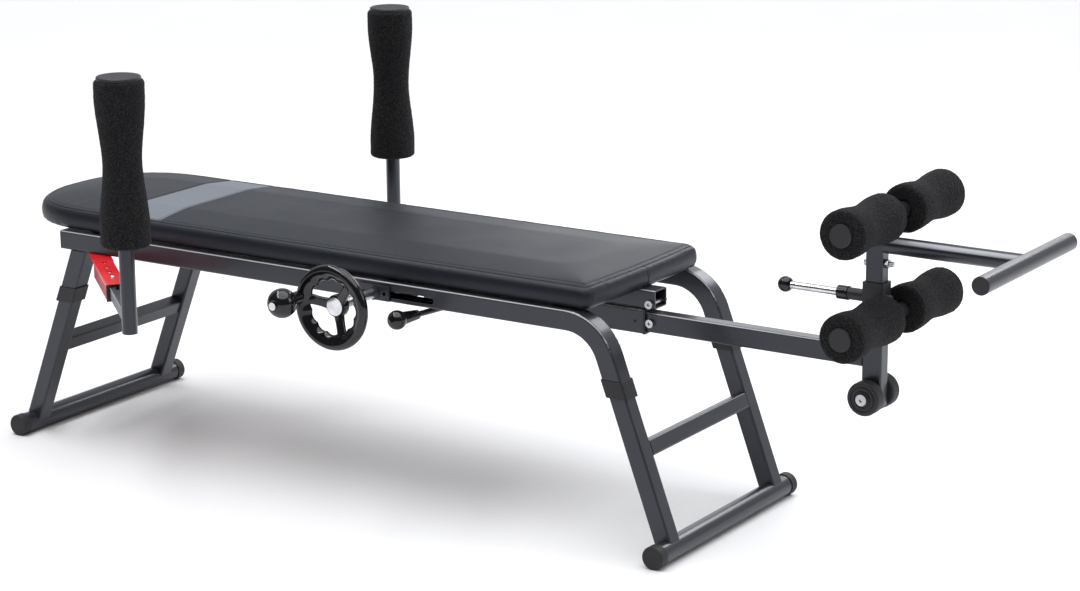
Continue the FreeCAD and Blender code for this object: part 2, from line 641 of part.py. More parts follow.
lever_ball = Part.makeSphere(16.0, ball_at)
grip_end = ball_at - toward * 46
lever_grip = Part.makeCone(11.0, 8.0, 34, ball_at - toward * 12, -toward)
lever_handle = joined([lever_ball, lever_grip]).cut(rod(tuple(ball_at - toward * 8), tuple(grip_end), 4.75))
save("lever_handle", lever_handle)

# ---- foot beam and lower ankle post -------------------------------------------------------------
beam = soften(box(BEAM_X, (-BEAM_HALF_Y, BEAM_HALF_Y), BEAM_Z), V(1, 0, 0), TUBE_CORNER_R)
beam_core_y = BEAM_HALF_Y - BEAM_WALL
beam = beam.cut(box((0, BIG), (-beam_core_y, beam_core_y), (BEAM_Z[0] + BEAM_WALL, BEAM_Z[1] - BEAM_WALL)))
beam = beam.cut(box((876 - BEAM_TRAVEL, 900), (-20, -5), (LEVER_Z - 5, LEVER_Z + 5)))
BEAM_BOLT = (1196.5, 329.5)
beam = beam.cut(rod((BEAM_BOLT[0], -20, BEAM_BOLT[1]), (BEAM_BOLT[0], 20, BEAM_BOLT[1]), 4.0))
save("foot_beam", beam)
beam_stop_bolt = cross_bolt(BEAM_BOLT[0], BEAM_BOLT[1], BEAM_HALF_Y)

post = soften(box(POST_X, (-BEAM_HALF_Y, BEAM_HALF_Y), POST_Z), V(0, 0, 1), TUBE_CORNER_R)
post_core_x = (POST_X[0] + BEAM_WALL, POST_X[1] - BEAM_WALL)
post = post.cut(box(post_core_x, (-beam_core_y, beam_core_y), (0, BIG)))
pin_hole = rod((1540, 0, PIN_Z), (1580, 0, PIN_Z), 4.3)
set_screw_hole = rod((1600, 0, PIN_Z), (1610, 0, PIN_Z), 3.0)
ax, az = WHEEL_AXLE
post = post.cut(pin_hole).cut(set_screw_hole).cut(rod((ax, -20, az), (ax, 20, az), 5.0))
save("ankle_post_outer", post)

collar_x = (POST_X[0] - 1.2, POST_X[1] + 1.2)
collar = box(collar_x, (-BEAM_HALF_Y - 1.2, BEAM_HALF_Y + 1.2), PIN_COLLAR_Z)
collar = soften(collar, V(0, 0, 1), SMALL_CORNER_R)
collar = collar.cut(box(POST_X, (-BEAM_HALF_Y, BEAM_HALF_Y), (0, POST_Z[1])))
inner_x = (POST_MID_X - INNER_HALF_X - 0.4, POST_MID_X + INNER_HALF_X + 0.4)
collar = collar.cut(box(inner_x, (-INNER_HALF_Y - 0.4, INNER_HALF_Y + 0.4), (0, BIG)))
collar = collar.cut(pin_hole).cut(set_screw_hole)
HOUSING_X = 1542.1
housing = ring((HOUSING_X, 0, PIN_Z), (collar_x[0], 0, PIN_Z), 9.5, 7.0)
housing_cap = ring((HOUSING_X, 0, PIN_Z), (HOUSING_X + 3, 0, PIN_Z), 9.5, 5.15)
foot_plug = box((post_core_x[0], post_core_x[1]), (-beam_core_y, beam_core_y), (249, 259))
save("ankle_post_collar", joined([collar, housing, housing_cap]), foot_plug)


def roller_axle(face_x, z):
    """Tube across the post's foot-side face, on a small welded saddle."""
    x = face_x + AXLE_R
    saddle = box((face_x, face_x + 6), (-9, 9), (z - 8, z + 8)).cut(rod((x, -20, z), (x, 20, z), AXLE_R))
    tube = ring((x, -ROLLER_Y[1], z), (x, ROLLER_Y[1], z), AXLE_R, AXLE_R - 2)
    return joined([tube, max(saddle.Solids, key=lambda solid: solid.Volume)])


def roller_cap(face_x, z):
    x = face_x + AXLE_R
    disc = rounded_rod((x, ROLLER_Y[1] + 0.4, z), (x, ROLLER_Y[1] + 3.4, z), ROLLER_CAP_R, 1.5)
    plug = rod((x, ROLLER_Y[1] - 12, z), (x, ROLLER_Y[1] + 0.4, z), AXLE_R - 2)
    return joined([disc, plug])


save("lower_roller_axle", roller_axle(POST_X[1], LOWER_AXLE_Z))
save("lower_roller_caps", *both_sides(roller_cap(POST_X[1], LOWER_AXLE_Z)))
wheel_bolt = rod((ax, -WHEEL_Y[1] - 3, az), (ax, WHEEL_Y[1] + 3, az), 5.0)
wheel_head = rod((ax, WHEEL_Y[1] + 0.2, az), (ax, WHEEL_Y[1] + 5, az), 9.0)
wheel_bolt = joined([wheel_bolt] + both_sides(wheel_head))
for side in (-1, 1):
    socket = rod((ax, side * (WHEEL_Y[1] + 2.4), az), (ax, side * (WHEEL_Y[1] + 6), az), 3.2)
    wheel_bolt = wheel_bolt.cut(socket)
set_screw = joined([
    rod((POST_X[1] - 1.6, 0, PIN_Z), (collar_x[1], 0, PIN_Z), 3.0),
    rod((collar_x[1], 0, PIN_Z), (collar_x[1] + 7, 0, PIN_Z), 6.0),
])
save("foot_beam_bolts", beam_stop_bolt, wheel_bolt, set_screw)

# ---- upper ankle post and T handle --------------------------------------------------------------
inner_post = box((POST_MID_X - INNER_HALF_X, POST_MID_X + INNER_HALF_X), (-INNER_HALF_Y, INNER_HALF_Y),
                 INNER_POST_Z)
inner_core = box((POST_MID_X - INNER_HALF_X + BEAM_WALL, POST_MID_X + INNER_HALF_X - BEAM_WALL),
                 (-INNER_HALF_Y + BEAM_WALL, INNER_HALF_Y - BEAM_WALL), (0, INNER_POST_Z[1] - 2))
pin_track = box((POST_MID_X - INNER_HALF_X - 2, POST_MID_X), (-4.5, 4.5), (PIN_Z - 86, PIN_Z + 26))
bolt_hole = rod((1560, 0, ANKLE_BOLT_Z), (1620, 0, ANKLE_BOLT_Z), 4.0)
inner_post = soften(inner_post, V(0, 0, 1), SMALL_CORNER_R)
save("ankle_post_inner", inner_post.cut(inner_core).cut(pin_track).cut(bolt_hole))
ankle_bolt = cross_bolt(0, ANKLE_BOLT_Z, INNER_HALF_X, tail=14.0)
ankle_bolt.rotate(V(0, 0, ANKLE_BOLT_Z), V(0, 0, 1), -90)
ankle_bolt.translate(V(POST_MID_X, 0, 0))
save("ankle_post_bolt", ankle_bolt)
INNER_FACE_X = POST_MID_X + INNER_HALF_X
save("upper_roller_axle", roller_axle(INNER_FACE_X, UPPER_AXLE_Z))
save("upper_roller_caps", *both_sides(roller_cap(INNER_FACE_X, UPPER_AXLE_Z)))

HANDLE_BAR_R = 14.0
handle_bar = ring((HANDLE_X, -HANDLE_HALF, HANDLE_Z), (HANDLE_X, HANDLE_HALF, HANDLE_Z),
                  HANDLE_BAR_R, HANDLE_BAR_R - 2)
handle_arm = ring((INNER_FACE_X, 0, HANDLE_Z), (HANDLE_X, 0, HANDLE_Z), 13.5, 11.5)
handle_arm = handle_arm.cut(rod((HANDLE_X, -50, HANDLE_Z), (HANDLE_X, 50, HANDLE_Z), HANDLE_BAR_R))
handle_arm = max(handle_arm.Solids, key=lambda solid: solid.Volume)
save("t_handle", handle_arm, handle_bar)
handle_cap = joined([
    rounded_rod((HANDLE_X, HANDLE_HALF, HANDLE_Z), (HANDLE_X, HANDLE_HALF + 2.5, HANDLE_Z),
                HANDLE_BAR_R, 1.5),
    rod((HANDLE_X, HANDLE_HALF - 12, HANDLE_Z), (HANDLE_X, HANDLE_HALF, HANDLE_Z), HANDLE_BAR_R - 2),
])
save("t_handle_caps", *both_sides(handle_cap))


# ---- foam rollers, lock pin, transport wheels ---------------------------------------------------
def foam_sleeve(length, end_r, waist_r, bore_r, edge):
    """Waisted foam sleeve standing on the origin, along +Z."""
    waist = Part.Arc(V(end_r, 0, length * 0.2), V(waist_r, 0, length * 0.5), V(end_r, 0, length * 0.8))
    corners = [V(bore_r, 0, 0), V(end_r - edge, 0, 0), V(end_r, 0, edge), V(end_r, 0, length * 0.2)]
    back = [V(end_r, 0, length * 0.8), V(end_r, 0, length - edge), V(end_r - edge, 0, length),
            V(bore_r, 0, length)]
    edges = [Part.LineSegment(a, b).toShape() for a, b in zip(corners, corners[1:])]
    edges.append(waist.toShape())
    edges += [Part.LineSegment(a, b).toShape() for a, b in zip(back, back[1:])]
    edges.append(Part.LineSegment(back[-1], corners[0]).toShape())
    return Part.Face(Part.Wire(edges)).revolve(V(0, 0, 0), V(0, 0, 1), 360)


for level, face_x, z in (("lower", POST_X[1], LOWER_AXLE_Z), ("upper", INNER_FACE_X, UPPER_AXLE_Z)):
    roller = foam_sleeve(ROLLER_Y[1] - ROLLER_Y[0], ROLLER_R, ROLLER_WAIST_R, AXLE_R + 0.4, 5.0)
    roller.rotate(V(0, 0, 0), V(1, 0, 0), -90)
    roller.translate(V(face_x + AXLE_R, ROLLER_Y[0], z))
    save(f"far_{level}_roller", roller)
    save(f"near_{level}_roller", flip_y(roller))

GRIP_X = (1524.5, 1541.6)
lock_pin = joined([
    rod((PIN_BALL_X + 8, 0, PIN_Z), (GRIP_X[0], 0, PIN_Z), PIN_R),
    rod((GRIP_X[0], 0, PIN_Z), (1568, 0, PIN_Z), 4.5),
    rod((1568, 0, PIN_Z), (1577.5, 0, PIN_Z), 4.0),
])
save("lock_pin", lock_pin)
pin_ball = Part.makeSphere(12.5, V(PIN_BALL_X, 0, PIN_Z))
pin_ball = pin_ball.cut(rod((PIN_BALL_X + 8, 0, PIN_Z), (1500, 0, PIN_Z), PIN_R))
pin_grip = ring((GRIP_X[0], 0, PIN_Z), (GRIP_X[1], 0, PIN_Z), 11.0, 4.5)
save("lock_pin_handle", pin_ball, pin_grip)

far_wheel = ring((ax, WHEEL_Y[0], az), (ax, WHEEL_Y[1], az), WHEEL_R, 5.1)
tread_edges = [edge for edge in far_wheel.Edges if edge.BoundBox.XLength > 2 * WHEEL_R - 1]
far_wheel = far_wheel.makeFillet(4.0, tread_edges)
for groove_r in (13.0, 19.5):
    groove = ring((ax, WHEEL_Y[1] - 1.5, az), (ax, WHEEL_Y[1] + 1, az), groove_r + 0.9, groove_r - 0.9)
    far_wheel = far_wheel.cut(groove)
save("near_transport_wheel", flip_y(far_wheel))
save("far_transport_wheel", far_wheel)


# ---- armpit posts -------------------------------------------------------------------------------
def along_arm(post, s0, s1, half_width, z):
    """Block along the near arm: s runs inwards from the post's axis."""
    inward = V(-math.sin(ARM_ANGLE), math.cos(ARM_ANGLE), 0)
    across = V(math.cos(ARM_ANGLE), math.sin(ARM_ANGLE), 0)
    start = V(post[0], post[1], z[0])
    corners = []
    for s, w in ((s0, -half_width), (s1, -half_width), (s1, half_width), (s0, half_width)):
        corners.append(start + inward * s + across * w)
    face = Part.Face(Part.makePolygon(corners + corners[:1]))
    return face.extrude(V(0, 0, z[1] - z[0]))


def soft_arm(block):
    return soften(block, V(-math.sin(ARM_ANGLE), math.cos(ARM_ANGLE), 0), TUBE_CORNER_R)


def arm_point(post, s):
    return post[0] - s * math.sin(ARM_ANGLE), post[1] + s * math.cos(ARM_ANGLE)


def upright(point, z0, z1, radius):
    return rod((point[0], point[1], z0), (point[0], point[1], z1), radius)


def arm_sleeve():
    tube = along_arm(NEAR_POST, SLEEVE_FRONT, SLEEVE_BACK, ARM_SLEEVE_W / 2, ARM_SLEEVE_Z)
    tab = along_arm(NEAR_POST, SLEEVE_BACK, SLEEVE_TAB_BACK, ARM_SLEEVE_W / 2,
                    (ARM_SLEEVE_Z[1] - 4, ARM_SLEEVE_Z[1]))
    core = along_arm(NEAR_POST, SLEEVE_FRONT - 5, SLEEVE_BACK + 5, ARM_SLEEVE_W / 2 - 2,
                     (ARM_SLEEVE_Z[0] + 2, ARM_SLEEVE_Z[1] - 2))
    whole = joined([soft_arm(tube), tab]).cut(core)
    for hole in range(4):
        spot = arm_point(NEAR_POST, BUTTON_AT + hole * HOLE_PITCH)
        whole = whole.cut(upright(spot, ARM_SLEEVE_Z[1] - 10, ARM_SLEEVE_Z[1] + 5, 4.9))
    return whole


def arm_liner():
    body = along_arm(NEAR_POST, SLEEVE_FRONT, SLEEVE_FRONT + 80, ARM_SLEEVE_W / 2 - 2,
                     (ARM_SLEEVE_Z[0] + 2, ARM_SLEEVE_Z[1] - 2))
    flange = along_arm(NEAR_POST, SLEEVE_FRONT - 2, SLEEVE_FRONT, ARM_SLEEVE_W / 2, ARM_SLEEVE_Z)
    hole = along_arm(NEAR_POST, 0, SLEEVE_BACK, ARM_W / 2 + 0.4, (ARM_Z[0] - 0.4, ARM_Z[1] + 0.4))
    spot = arm_point(NEAR_POST, BUTTON_AT)
    return joined([body, flange]).cut(hole).cut(upright(spot, ARM_Z[1], ARM_SLEEVE_Z[1] + 5, 4.9))


def arm_tube():
    tube = along_arm(NEAR_POST, 2, ARM_TAIL, ARM_W / 2, ARM_Z)
    core = along_arm(NEAR_POST, 0, ARM_TAIL + 5, ARM_W / 2 - 1.8, (ARM_Z[0] + 1.8, ARM_Z[1] - 1.8))
    track = along_arm(NEAR_POST, BUTTON_AT - 2 * HOLE_PITCH - 6, BUTTON_AT + 6, 5.0,
                      (ARM_Z[1] - 5, ARM_Z[1] + 5))
    return soft_arm(tube).cut(core).cut(track).cut(upright(NEAR_POST, 300, 400, POST_R))


def post_tube():
    tube = upright(NEAR_POST, POST_TUBE_Z[0], POST_TUBE_Z[1], POST_R)
    return tube.cut(upright(NEAR_POST, POST_TUBE_Z[0] + 2, POST_TUBE_Z[1] + 5, POST_R - 2))


def post_foam():
    foam = foam_sleeve(FOAM_Z[1] - FOAM_Z[0], FOAM_R, FOAM_WAIST_R, POST_R, 6.0)
    foam.translate(V(NEAR_POST[0], NEAR_POST[1], FOAM_Z[0]))
    return foam


def post_cap():
    foot = (NEAR_POST[0], NEAR_POST[1], FOAM_Z[1])
    disc = rounded_rod(foot, (NEAR_POST[0], NEAR_POST[1], POST_CAP_TOP), POST_CAP_R, CAP_EDGE_R)
    plug = upright(NEAR_POST, POST_TUBE_Z[1] - 20, POST_TUBE_Z[1], POST_R - 2)
    neck = upright(NEAR_POST, POST_TUBE_Z[1], FOAM_Z[1], POST_R - 0.1)
    return joined([disc, neck, plug])


def snap_button():
    spot = arm_point(NEAR_POST, BUTTON_AT)
    stem = upright(spot, ARM_Z[1] - 2.6, ARM_SLEEVE_Z[1] + 0.6, 4.5)
    dome = Part.makeSphere(6.0, V(spot[0], spot[1], ARM_SLEEVE_Z[1] - 3.4)).common(
        upright(spot, ARM_SLEEVE_Z[1] + 0.6, ARM_SLEEVE_Z[1] + 6, 4.5))
    return joined([stem, dome])


near_sleeve = arm_sleeve()
save("arm_sleeves", near_sleeve, flip_y(near_sleeve))
near_liner = arm_liner()
save("arm_sleeve_liners", near_liner, flip_y(near_liner))
save("near_snap_button", snap_button())
save("far_snap_button", flip_y(snap_button()))

further_in = FAR_HOLES_IN * HOLE_PITCH
far_shift = V(-further_in * math.sin(ARM_ANGLE), -further_in * math.cos(ARM_ANGLE), 0)
ARM_PIECES = (
    ("arm_tube", arm_tube),
    ("post_tube", post_tube),
    ("post_foam", post_foam),
    ("post_cap", post_cap),
)
for name, make in ARM_PIECES:
    save(f"near_{name}", make())
    far_piece = flip_y(make())
    far_piece.translate(far_shift)
    save(f"far_{name}", far_piece)
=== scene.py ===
"""Looks of the back traction bench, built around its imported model.

Metres, in the model's own frame: X runs from the head to the feet, the handwheel is on the -Y side
and Z = 0 is the floor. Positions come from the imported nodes' boxes.
"""

import math

import bmesh
import bpy
import numpy as np
from mathutils import Matrix, Vector, kdtree, noise
from mathutils.bvhtree import BVHTree


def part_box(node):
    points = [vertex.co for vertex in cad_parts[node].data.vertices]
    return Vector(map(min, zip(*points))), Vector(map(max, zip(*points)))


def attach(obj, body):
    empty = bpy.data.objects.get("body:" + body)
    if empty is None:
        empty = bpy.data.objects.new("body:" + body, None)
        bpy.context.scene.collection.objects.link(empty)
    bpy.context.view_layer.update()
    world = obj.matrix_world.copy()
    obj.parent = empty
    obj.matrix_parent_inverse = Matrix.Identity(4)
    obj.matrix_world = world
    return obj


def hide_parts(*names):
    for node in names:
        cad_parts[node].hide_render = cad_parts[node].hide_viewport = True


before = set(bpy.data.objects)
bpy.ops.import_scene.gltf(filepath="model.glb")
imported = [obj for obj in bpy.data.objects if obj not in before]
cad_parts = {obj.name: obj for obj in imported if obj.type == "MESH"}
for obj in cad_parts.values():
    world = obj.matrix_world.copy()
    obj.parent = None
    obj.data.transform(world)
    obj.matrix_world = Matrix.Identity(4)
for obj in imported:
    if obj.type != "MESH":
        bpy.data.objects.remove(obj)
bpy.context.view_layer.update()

MM = 0.001
UP = Vector((0, 0, 1))


# ---- shader helpers -----------------------------------------------------------------------------
MIX_FIRST, MIX_SECOND, MIX_RESULT = 6, 7, 2      # the Mix node's colour sockets


def feed(tree, socket, value):
    """Link a socket, or set it to a number or colour."""
    if isinstance(value, bpy.types.NodeSocket):
        tree.links.new(value, socket)
    elif isinstance(value, tuple) and len(value) == 3 and socket.type == "RGBA":
        socket.default_value = (*value, 1.0)
    else:
        socket.default_value = value


def add(tree, kind, values=None, **settings):
    """A new shader node of that kind, with its settings and its inputs' values."""
    made = tree.nodes.new("ShaderNode" + kind)
    for name, setting in settings.items():
        setattr(made, name, setting)
    for key, value in (values or {}).items():
        feed(tree, made.inputs[key], value)
    return made


def position(tree):
    return add(tree, "TexCoord").outputs["Object"]


def surface_normal(tree):
    return add(tree, "NewGeometry").outputs["Normal"]


def grain(tree, scale, detail=3.0, where=None):
    """Noise between 0 and 1, with its scale in features per metre."""
    place = position(tree) if where is None else where
    values = {"Vector": place, "Scale": scale, "Detail": detail, "Roughness": 0.6}
    return add(tree, "TexNoise", values).outputs["Fac"]


def cells(tree, scale, feature="F1"):
    values = {"Vector": position(tree), "Scale": scale}
    return add(tree, "TexVoronoi", values, feature=feature).outputs["Distance"]


def stripes(tree, scale, distortion, direction="X"):
    values = {"Vector": position(tree), "Scale": scale, "Distortion": distortion}
    return add(tree, "TexWave", values, bands_direction=direction).outputs["Fac"]


def stretched(tree, scale):
    """Positions scaled along each axis, which draws a texture out or packs it closer."""
    return add(tree, "Mapping", {"Vector": position(tree), "Scale": scale}).outputs["Vector"]


def remap(tree, value, low, high, to_low=0.0, to_high=1.0):
    values = {"Value": value, "From Min": low, "From Max": high, "To Min": to_low, "To Max": to_high}
    return add(tree, "MapRange", values, interpolation_type="SMOOTHSTEP").outputs["Result"]


def maths(tree, operation, first, second=0.0):
    made = add(tree, "Math", operation=operation)
    feed(tree, made.inputs[0], first)
    feed(tree, made.inputs[1], second)
    return made.outputs[0]


def blend_colour(tree, share, first, second):
    mix = add(tree, "Mix", data_type="RGBA")
    feed(tree, mix.inputs["Factor"], share)
    feed(tree, mix.inputs[MIX_FIRST], first)
    feed(tree, mix.inputs[MIX_SECOND], second)
    return mix.outputs[MIX_RESULT]


def mottled(tree, cloud, dark, light):
    """Colour that drifts from dark to light with a cloudy noise."""
    return blend_colour(tree, remap(tree, cloud, 0.3, 0.7), dark, light)


def overlaid(tree, base, mask, share, colour):
    """The base colour, with a share of another one where the mask is 1."""
    return blend_colour(tree, maths(tree, "MULTIPLY", mask, share), base, colour)


def bump(tree, height, strength, distance, normal=None):
    values = {"Height": height, "Strength": strength, "Distance": distance}
    if normal is not None:
        values["Normal"] = normal
    return add(tree, "Bump", values).outputs["Normal"]


def edge_mask(tree, radius):
    """About 1 on sharp edges and 0 on flats, from how far a rounded normal leaves the true one."""
    rounded = add(tree, "Bevel", {"Radius": radius}, samples=4).outputs["Normal"]
    both = {0: rounded, 1: surface_normal(tree)}
    alike = add(tree, "VectorMath", both, operation="DOT_PRODUCT").outputs["Value"]
    return remap(tree, alike, 0.995, 0.85)


def painted_highlight_top_edges(tree):
    """About 1 on the rounded upper edges that run along the bench, where a pale highlight is painted into the
    colour.
    """
    normal = add(tree, "SeparateXYZ", {"Vector": surface_normal(tree)})
    sideways = remap(tree, maths(tree, "ABSOLUTE", normal.outputs["Y"]), 0.35, 0.60)
    upwards = remap(tree, normal.outputs["Z"], 0.35, 0.60)
    return maths(tree, "MULTIPLY", sideways, upwards)


def material(name, **constants):
    """A material with a Principled shader; the constants are set on the shader's own sockets."""
    made = bpy.data.materials.new(name)
    made.use_nodes = True
    tree = made.node_tree
    tree.nodes.clear()
    shader = add(tree, "BsdfPrincipled")
    output = add(tree, "OutputMaterial")
    tree.links.new(shader.outputs["BSDF"], output.inputs["Surface"])
    for socket_name, value in constants.items():
        feed(tree, shader.inputs[socket_name.replace("_", " ")], value)
    return made, tree, shader


def finish_with(tree, shader, base, roughness, normal):
    feed(tree, shader.inputs["Base Color"], base)
    feed(tree, shader.inputs["Roughness"], roughness)
    feed(tree, shader.inputs["Normal"], normal)


# ---- materials ----------------------------------------------------------------------------------
COOL = (0.80, 0.88, 1.0, 1.0)      # tint of the gloss on the dark finishes


def charcoal_paint():
    """Satin powder coat with a fine orange peel; paler on the edges, partly as thinner paint and partly as a
    painted highlight, with a brighter highlight painted along the long upper edges.
    """
    made, tree, shader = material("charcoal_powder_coat", Coat_Weight=0.25, Coat_Roughness=0.16,
                                  Specular_Tint=COOL)
    cloud = grain(tree, 9.0)
    flake = grain(tree, 2600.0, 2.0)
    base = mottled(tree, cloud, (0.0155, 0.0155, 0.0195), (0.0205, 0.0205, 0.0255))
    base = blend_colour(tree, remap(tree, flake, 0.62, 0.78, 0.0, 0.5), base, (0.055, 0.055, 0.066))
    # paler edges: partly the thinner paint there, partly a painted highlight
    base = overlaid(tree, base, edge_mask(tree, 1.2 * MM), 0.4, (0.10, 0.10, 0.115))
    # painted highlight: a pale colour laid on the long upper edges and the tops of the bends
    base = overlaid(tree, base, painted_highlight_top_edges(tree), 0.85, (0.44, 0.44, 0.47))
    peel = bump(tree, grain(tree, 750.0), 0.25, 0.12 * MM)
    finish_with(tree, shader, base, remap(tree, cloud, 0.2, 0.8, 0.30, 0.38), peel)
    return made


def red_paint():
    made, tree, shader = material("red_gloss_paint", Coat_Weight=0.6, Coat_Roughness=0.12)
    cloud = grain(tree, 14.0)
    base = mottled(tree, cloud, (0.66, 0.012, 0.020), (0.78, 0.020, 0.028))
    # paler red edges: partly thinner paint, partly a painted highlight
    base = overlaid(tree, base, edge_mask(tree, 1.0 * MM), 0.35, (0.95, 0.16, 0.15))
    peel = bump(tree, grain(tree, 600.0), 0.2, 0.1 * MM)
    finish_with(tree, shader, base, remap(tree, cloud, 0.2, 0.8, 0.26, 0.34), peel)
    return made


def bare_metal(name, colour, rough_low, rough_high, streak):
    """Plated steel: fine turning or drawing marks and cloudy patches in the polish."""
    made, tree, shader = material(name, Metallic=1.0)
    cloud = grain(tree, 60.0)
    marks = grain(tree, 500.0, 2.0, where=stretched(tree, streak))
    darker = tuple(0.72 * part for part in colour)
    base = blend_colour(tree, remap(tree, cloud, 0.25, 0.75), darker, colour)
    roughness = remap(tree, marks, 0.25, 0.75, rough_low, rough_high)
    finish_with(tree, shader, base, roughness, bump(tree, marks, 0.15, 0.05 * MM))
    return made


def moulded_plastic(name, dark, light, rough_low, rough_high, texture_scale, depth):
    """Moulded plastic or rubber with a fine grain, and a highlight painted on its edges as a paler colour."""
    made, tree, shader = material(name)
    cloud = grain(tree, 25.0)
    speck = grain(tree, texture_scale, 4.0)
    base = mottled(tree, cloud, dark, light)
    # painted highlight: the edges get a paler copy of the colour
    paler = tuple(2.2 * part for part in light)
    base = overlaid(tree, base, edge_mask(tree, 0.8 * MM), 0.4, paler)
    roughness = remap(tree, speck, 0.3, 0.7, rough_low, rough_high)
    finish_with(tree, shader, base, roughness, bump(tree, speck, 0.35, depth))
    return made


def nitrile_foam():
    """Closed-cell foam: near black, with an open pebbled skin, and paler specks painted in as the glints
    where that skin catches the light.
    """
    made, tree, shader = material("nitrile_foam", Sheen_Weight=0.03, Sheen_Roughness=0.5,
                                  Specular_IOR_Level=0.16)
    pore = cells(tree, 380.0)
    fleck = grain(tree, 400.0)
    cloud = grain(tree, 30.0)
    base = mottled(tree, cloud, (0.0045, 0.0045, 0.0052), (0.0075, 0.0075, 0.0083))
    # painted highlight: paler specks stand in for the glints off the pebbles
    base = blend_colour(tree, remap(tree, fleck, 0.44, 0.66, 0.0, 0.9), base, (0.027, 0.027, 0.029))
    skin = bump(tree, fleck, 1.0, 2.0 * MM, bump(tree, pore, 1.0, 1.6 * MM))
    finish_with(tree, shader, base, remap(tree, cloud, 0.2, 0.8, 0.86, 0.97), skin)
    return made


def vinyl_normal(tree):
    """Leather grain: creased cells, with soft wrinkles between them."""
    crease = remap(tree, cells(tree, 900.0, "DISTANCE_TO_EDGE"), 0.0, 0.16)
    broad = grain(tree, 70.0, 2.0)
    pebbled = bump(tree, crease, 0.22, 0.16 * MM)
    return bump(tree, broad, 0.12, 0.8 * MM, pebbled)


def band_mask(tree, band):
    """1 between the band's two X, on the top panel only."""
    along = add(tree, "SeparateXYZ", {"Vector": position(tree)}).outputs["X"]
    soft = 0.2 * MM
    inside = maths(tree, "MULTIPLY", remap(tree, along, band[0] - soft, band[0] + soft),
                   remap(tree, along, band[1] + soft, band[1] - soft))
    on_top = add(tree, "Attribute", attribute_name="from_seam").outputs["Fac"]
    return maths(tree, "MULTIPLY", inside, remap(tree, on_top, 0.0, 0.6 * MM))


def black_vinyl(name, band=None):
    """Black upholstery vinyl; with a band, a sewn-in grey stripe lies between those X on the top."""
    made, tree, shader = material(name, Specular_Tint=COOL, Specular_IOR_Level=0.38)
    cloud = grain(tree, 5.0)
    crease = remap(tree, cells(tree, 900.0, "DISTANCE_TO_EDGE"), 0.0, 0.10)
    base = mottled(tree, cloud, (0.0080, 0.0086, 0.0125), (0.0110, 0.0117, 0.0165))
    if band is not None:
        grey = mottled(tree, cloud, (0.150, 0.165, 0.190), (0.170, 0.185, 0.212))
        base = blend_colour(tree, band_mask(tree, band), base, grey)
    # painted shade: the grain's creases are drawn darker
    base = overlaid(tree, base, maths(tree, "SUBTRACT", 1.0, crease), 0.45, (0.008, 0.008, 0.010))
    finish_with(tree, shader, base, remap(tree, cloud, 0.2, 0.8, 0.36, 0.46), vinyl_normal(tree))
    return made


def sewing_thread():
    made, tree, shader = material("sewing_thread", Sheen_Weight=0.3)
    twist = stripes(tree, 900.0, 2.0)
    # painted shade and highlight: the twist's grooves darker, its ridges paler
    base = blend_colour(tree, twist, (0.018, 0.019, 0.023), (0.05, 0.052, 0.06))
    finish_with(tree, shader, base, 0.75, bump(tree, twist, 0.5, 0.1 * MM))
    return made


def plywood():
    """Board under the cushion: bare face, with the cover's black lining over its edges."""
    made, tree, shader = material("birch_plywood")
    figure = grain(tree, 4.0, 6.0, where=stretched(tree, (3.0, 30.0, 60.0)))
    plies = stripes(tree, 160.0, 0.6, "Z")
    base = mottled(tree, figure, (0.17, 0.108, 0.058), (0.26, 0.175, 0.100))
    base = overlaid(tree, base, plies, 0.35, (0.12, 0.072, 0.038))
    up = add(tree, "SeparateXYZ", {"Vector": surface_normal(tree)}).outputs["Z"]
    edge = remap(tree, maths(tree, "ABSOLUTE", up), 0.8, 0.5)
    base = blend_colour(tree, edge, base, (0.008, 0.008, 0.009))
    roughness = remap(tree, figure, 0.2, 0.8, 0.62, 0.78)
    finish_with(tree, shader, base, roughness, bump(tree, figure, 0.3, 0.3 * MM))
    return made


ROUND_Z = (1.0, 1.0, 12.0)         # texture scales that run a metal's marks round Z or along X
ALONG_X = (0.3, 9.0, 9.0)
FINISHES = {
    "charcoal_frame": charcoal_paint(),
    "red_sleeve": red_paint(),
    "zinc_hardware": bare_metal("zinc_plate", (0.56, 0.56, 0.58), 0.22, 0.36, ROUND_Z),
    "chrome_rod": bare_metal("chrome", (0.80, 0.80, 0.82), 0.08, 0.18, ALONG_X),
    "black_vinyl": black_vinyl("black_vinyl"),
    "black_foam": nitrile_foam(),
    "seat_foam": moulded_plastic("seat_foam", (0.32, 0.31, 0.26), (0.42, 0.40, 0.33),
                                 0.9, 0.98, 900.0, 0.5 * MM),
    "plywood": plywood(),
    "black_plastic": moulded_plastic("matt_black_plastic", (0.007, 0.007, 0.010), (0.010, 0.010, 0.014),
                                     0.42, 0.58, 1500.0, 0.12 * MM),
    "gloss_black_plastic": moulded_plastic("gloss_black_plastic",
                                           (0.005, 0.005, 0.006), (0.007, 0.007, 0.008),
                                           0.08, 0.14, 220.0, 0.03 * MM),
    "wheel_rubber": moulded_plastic("wheel_rubber", (0.012, 0.012, 0.013), (0.018, 0.018, 0.019),
                                    0.55, 0.72, 1100.0, 0.15 * MM),
}
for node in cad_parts.values():
    for material_slot in node.material_slots:
        material_slot.material = FINISHES[material_slot.material.name.split(".")[0]]
for material_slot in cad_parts["lever_arm"].material_slots:
    material_slot.material = FINISHES["charcoal_frame"]


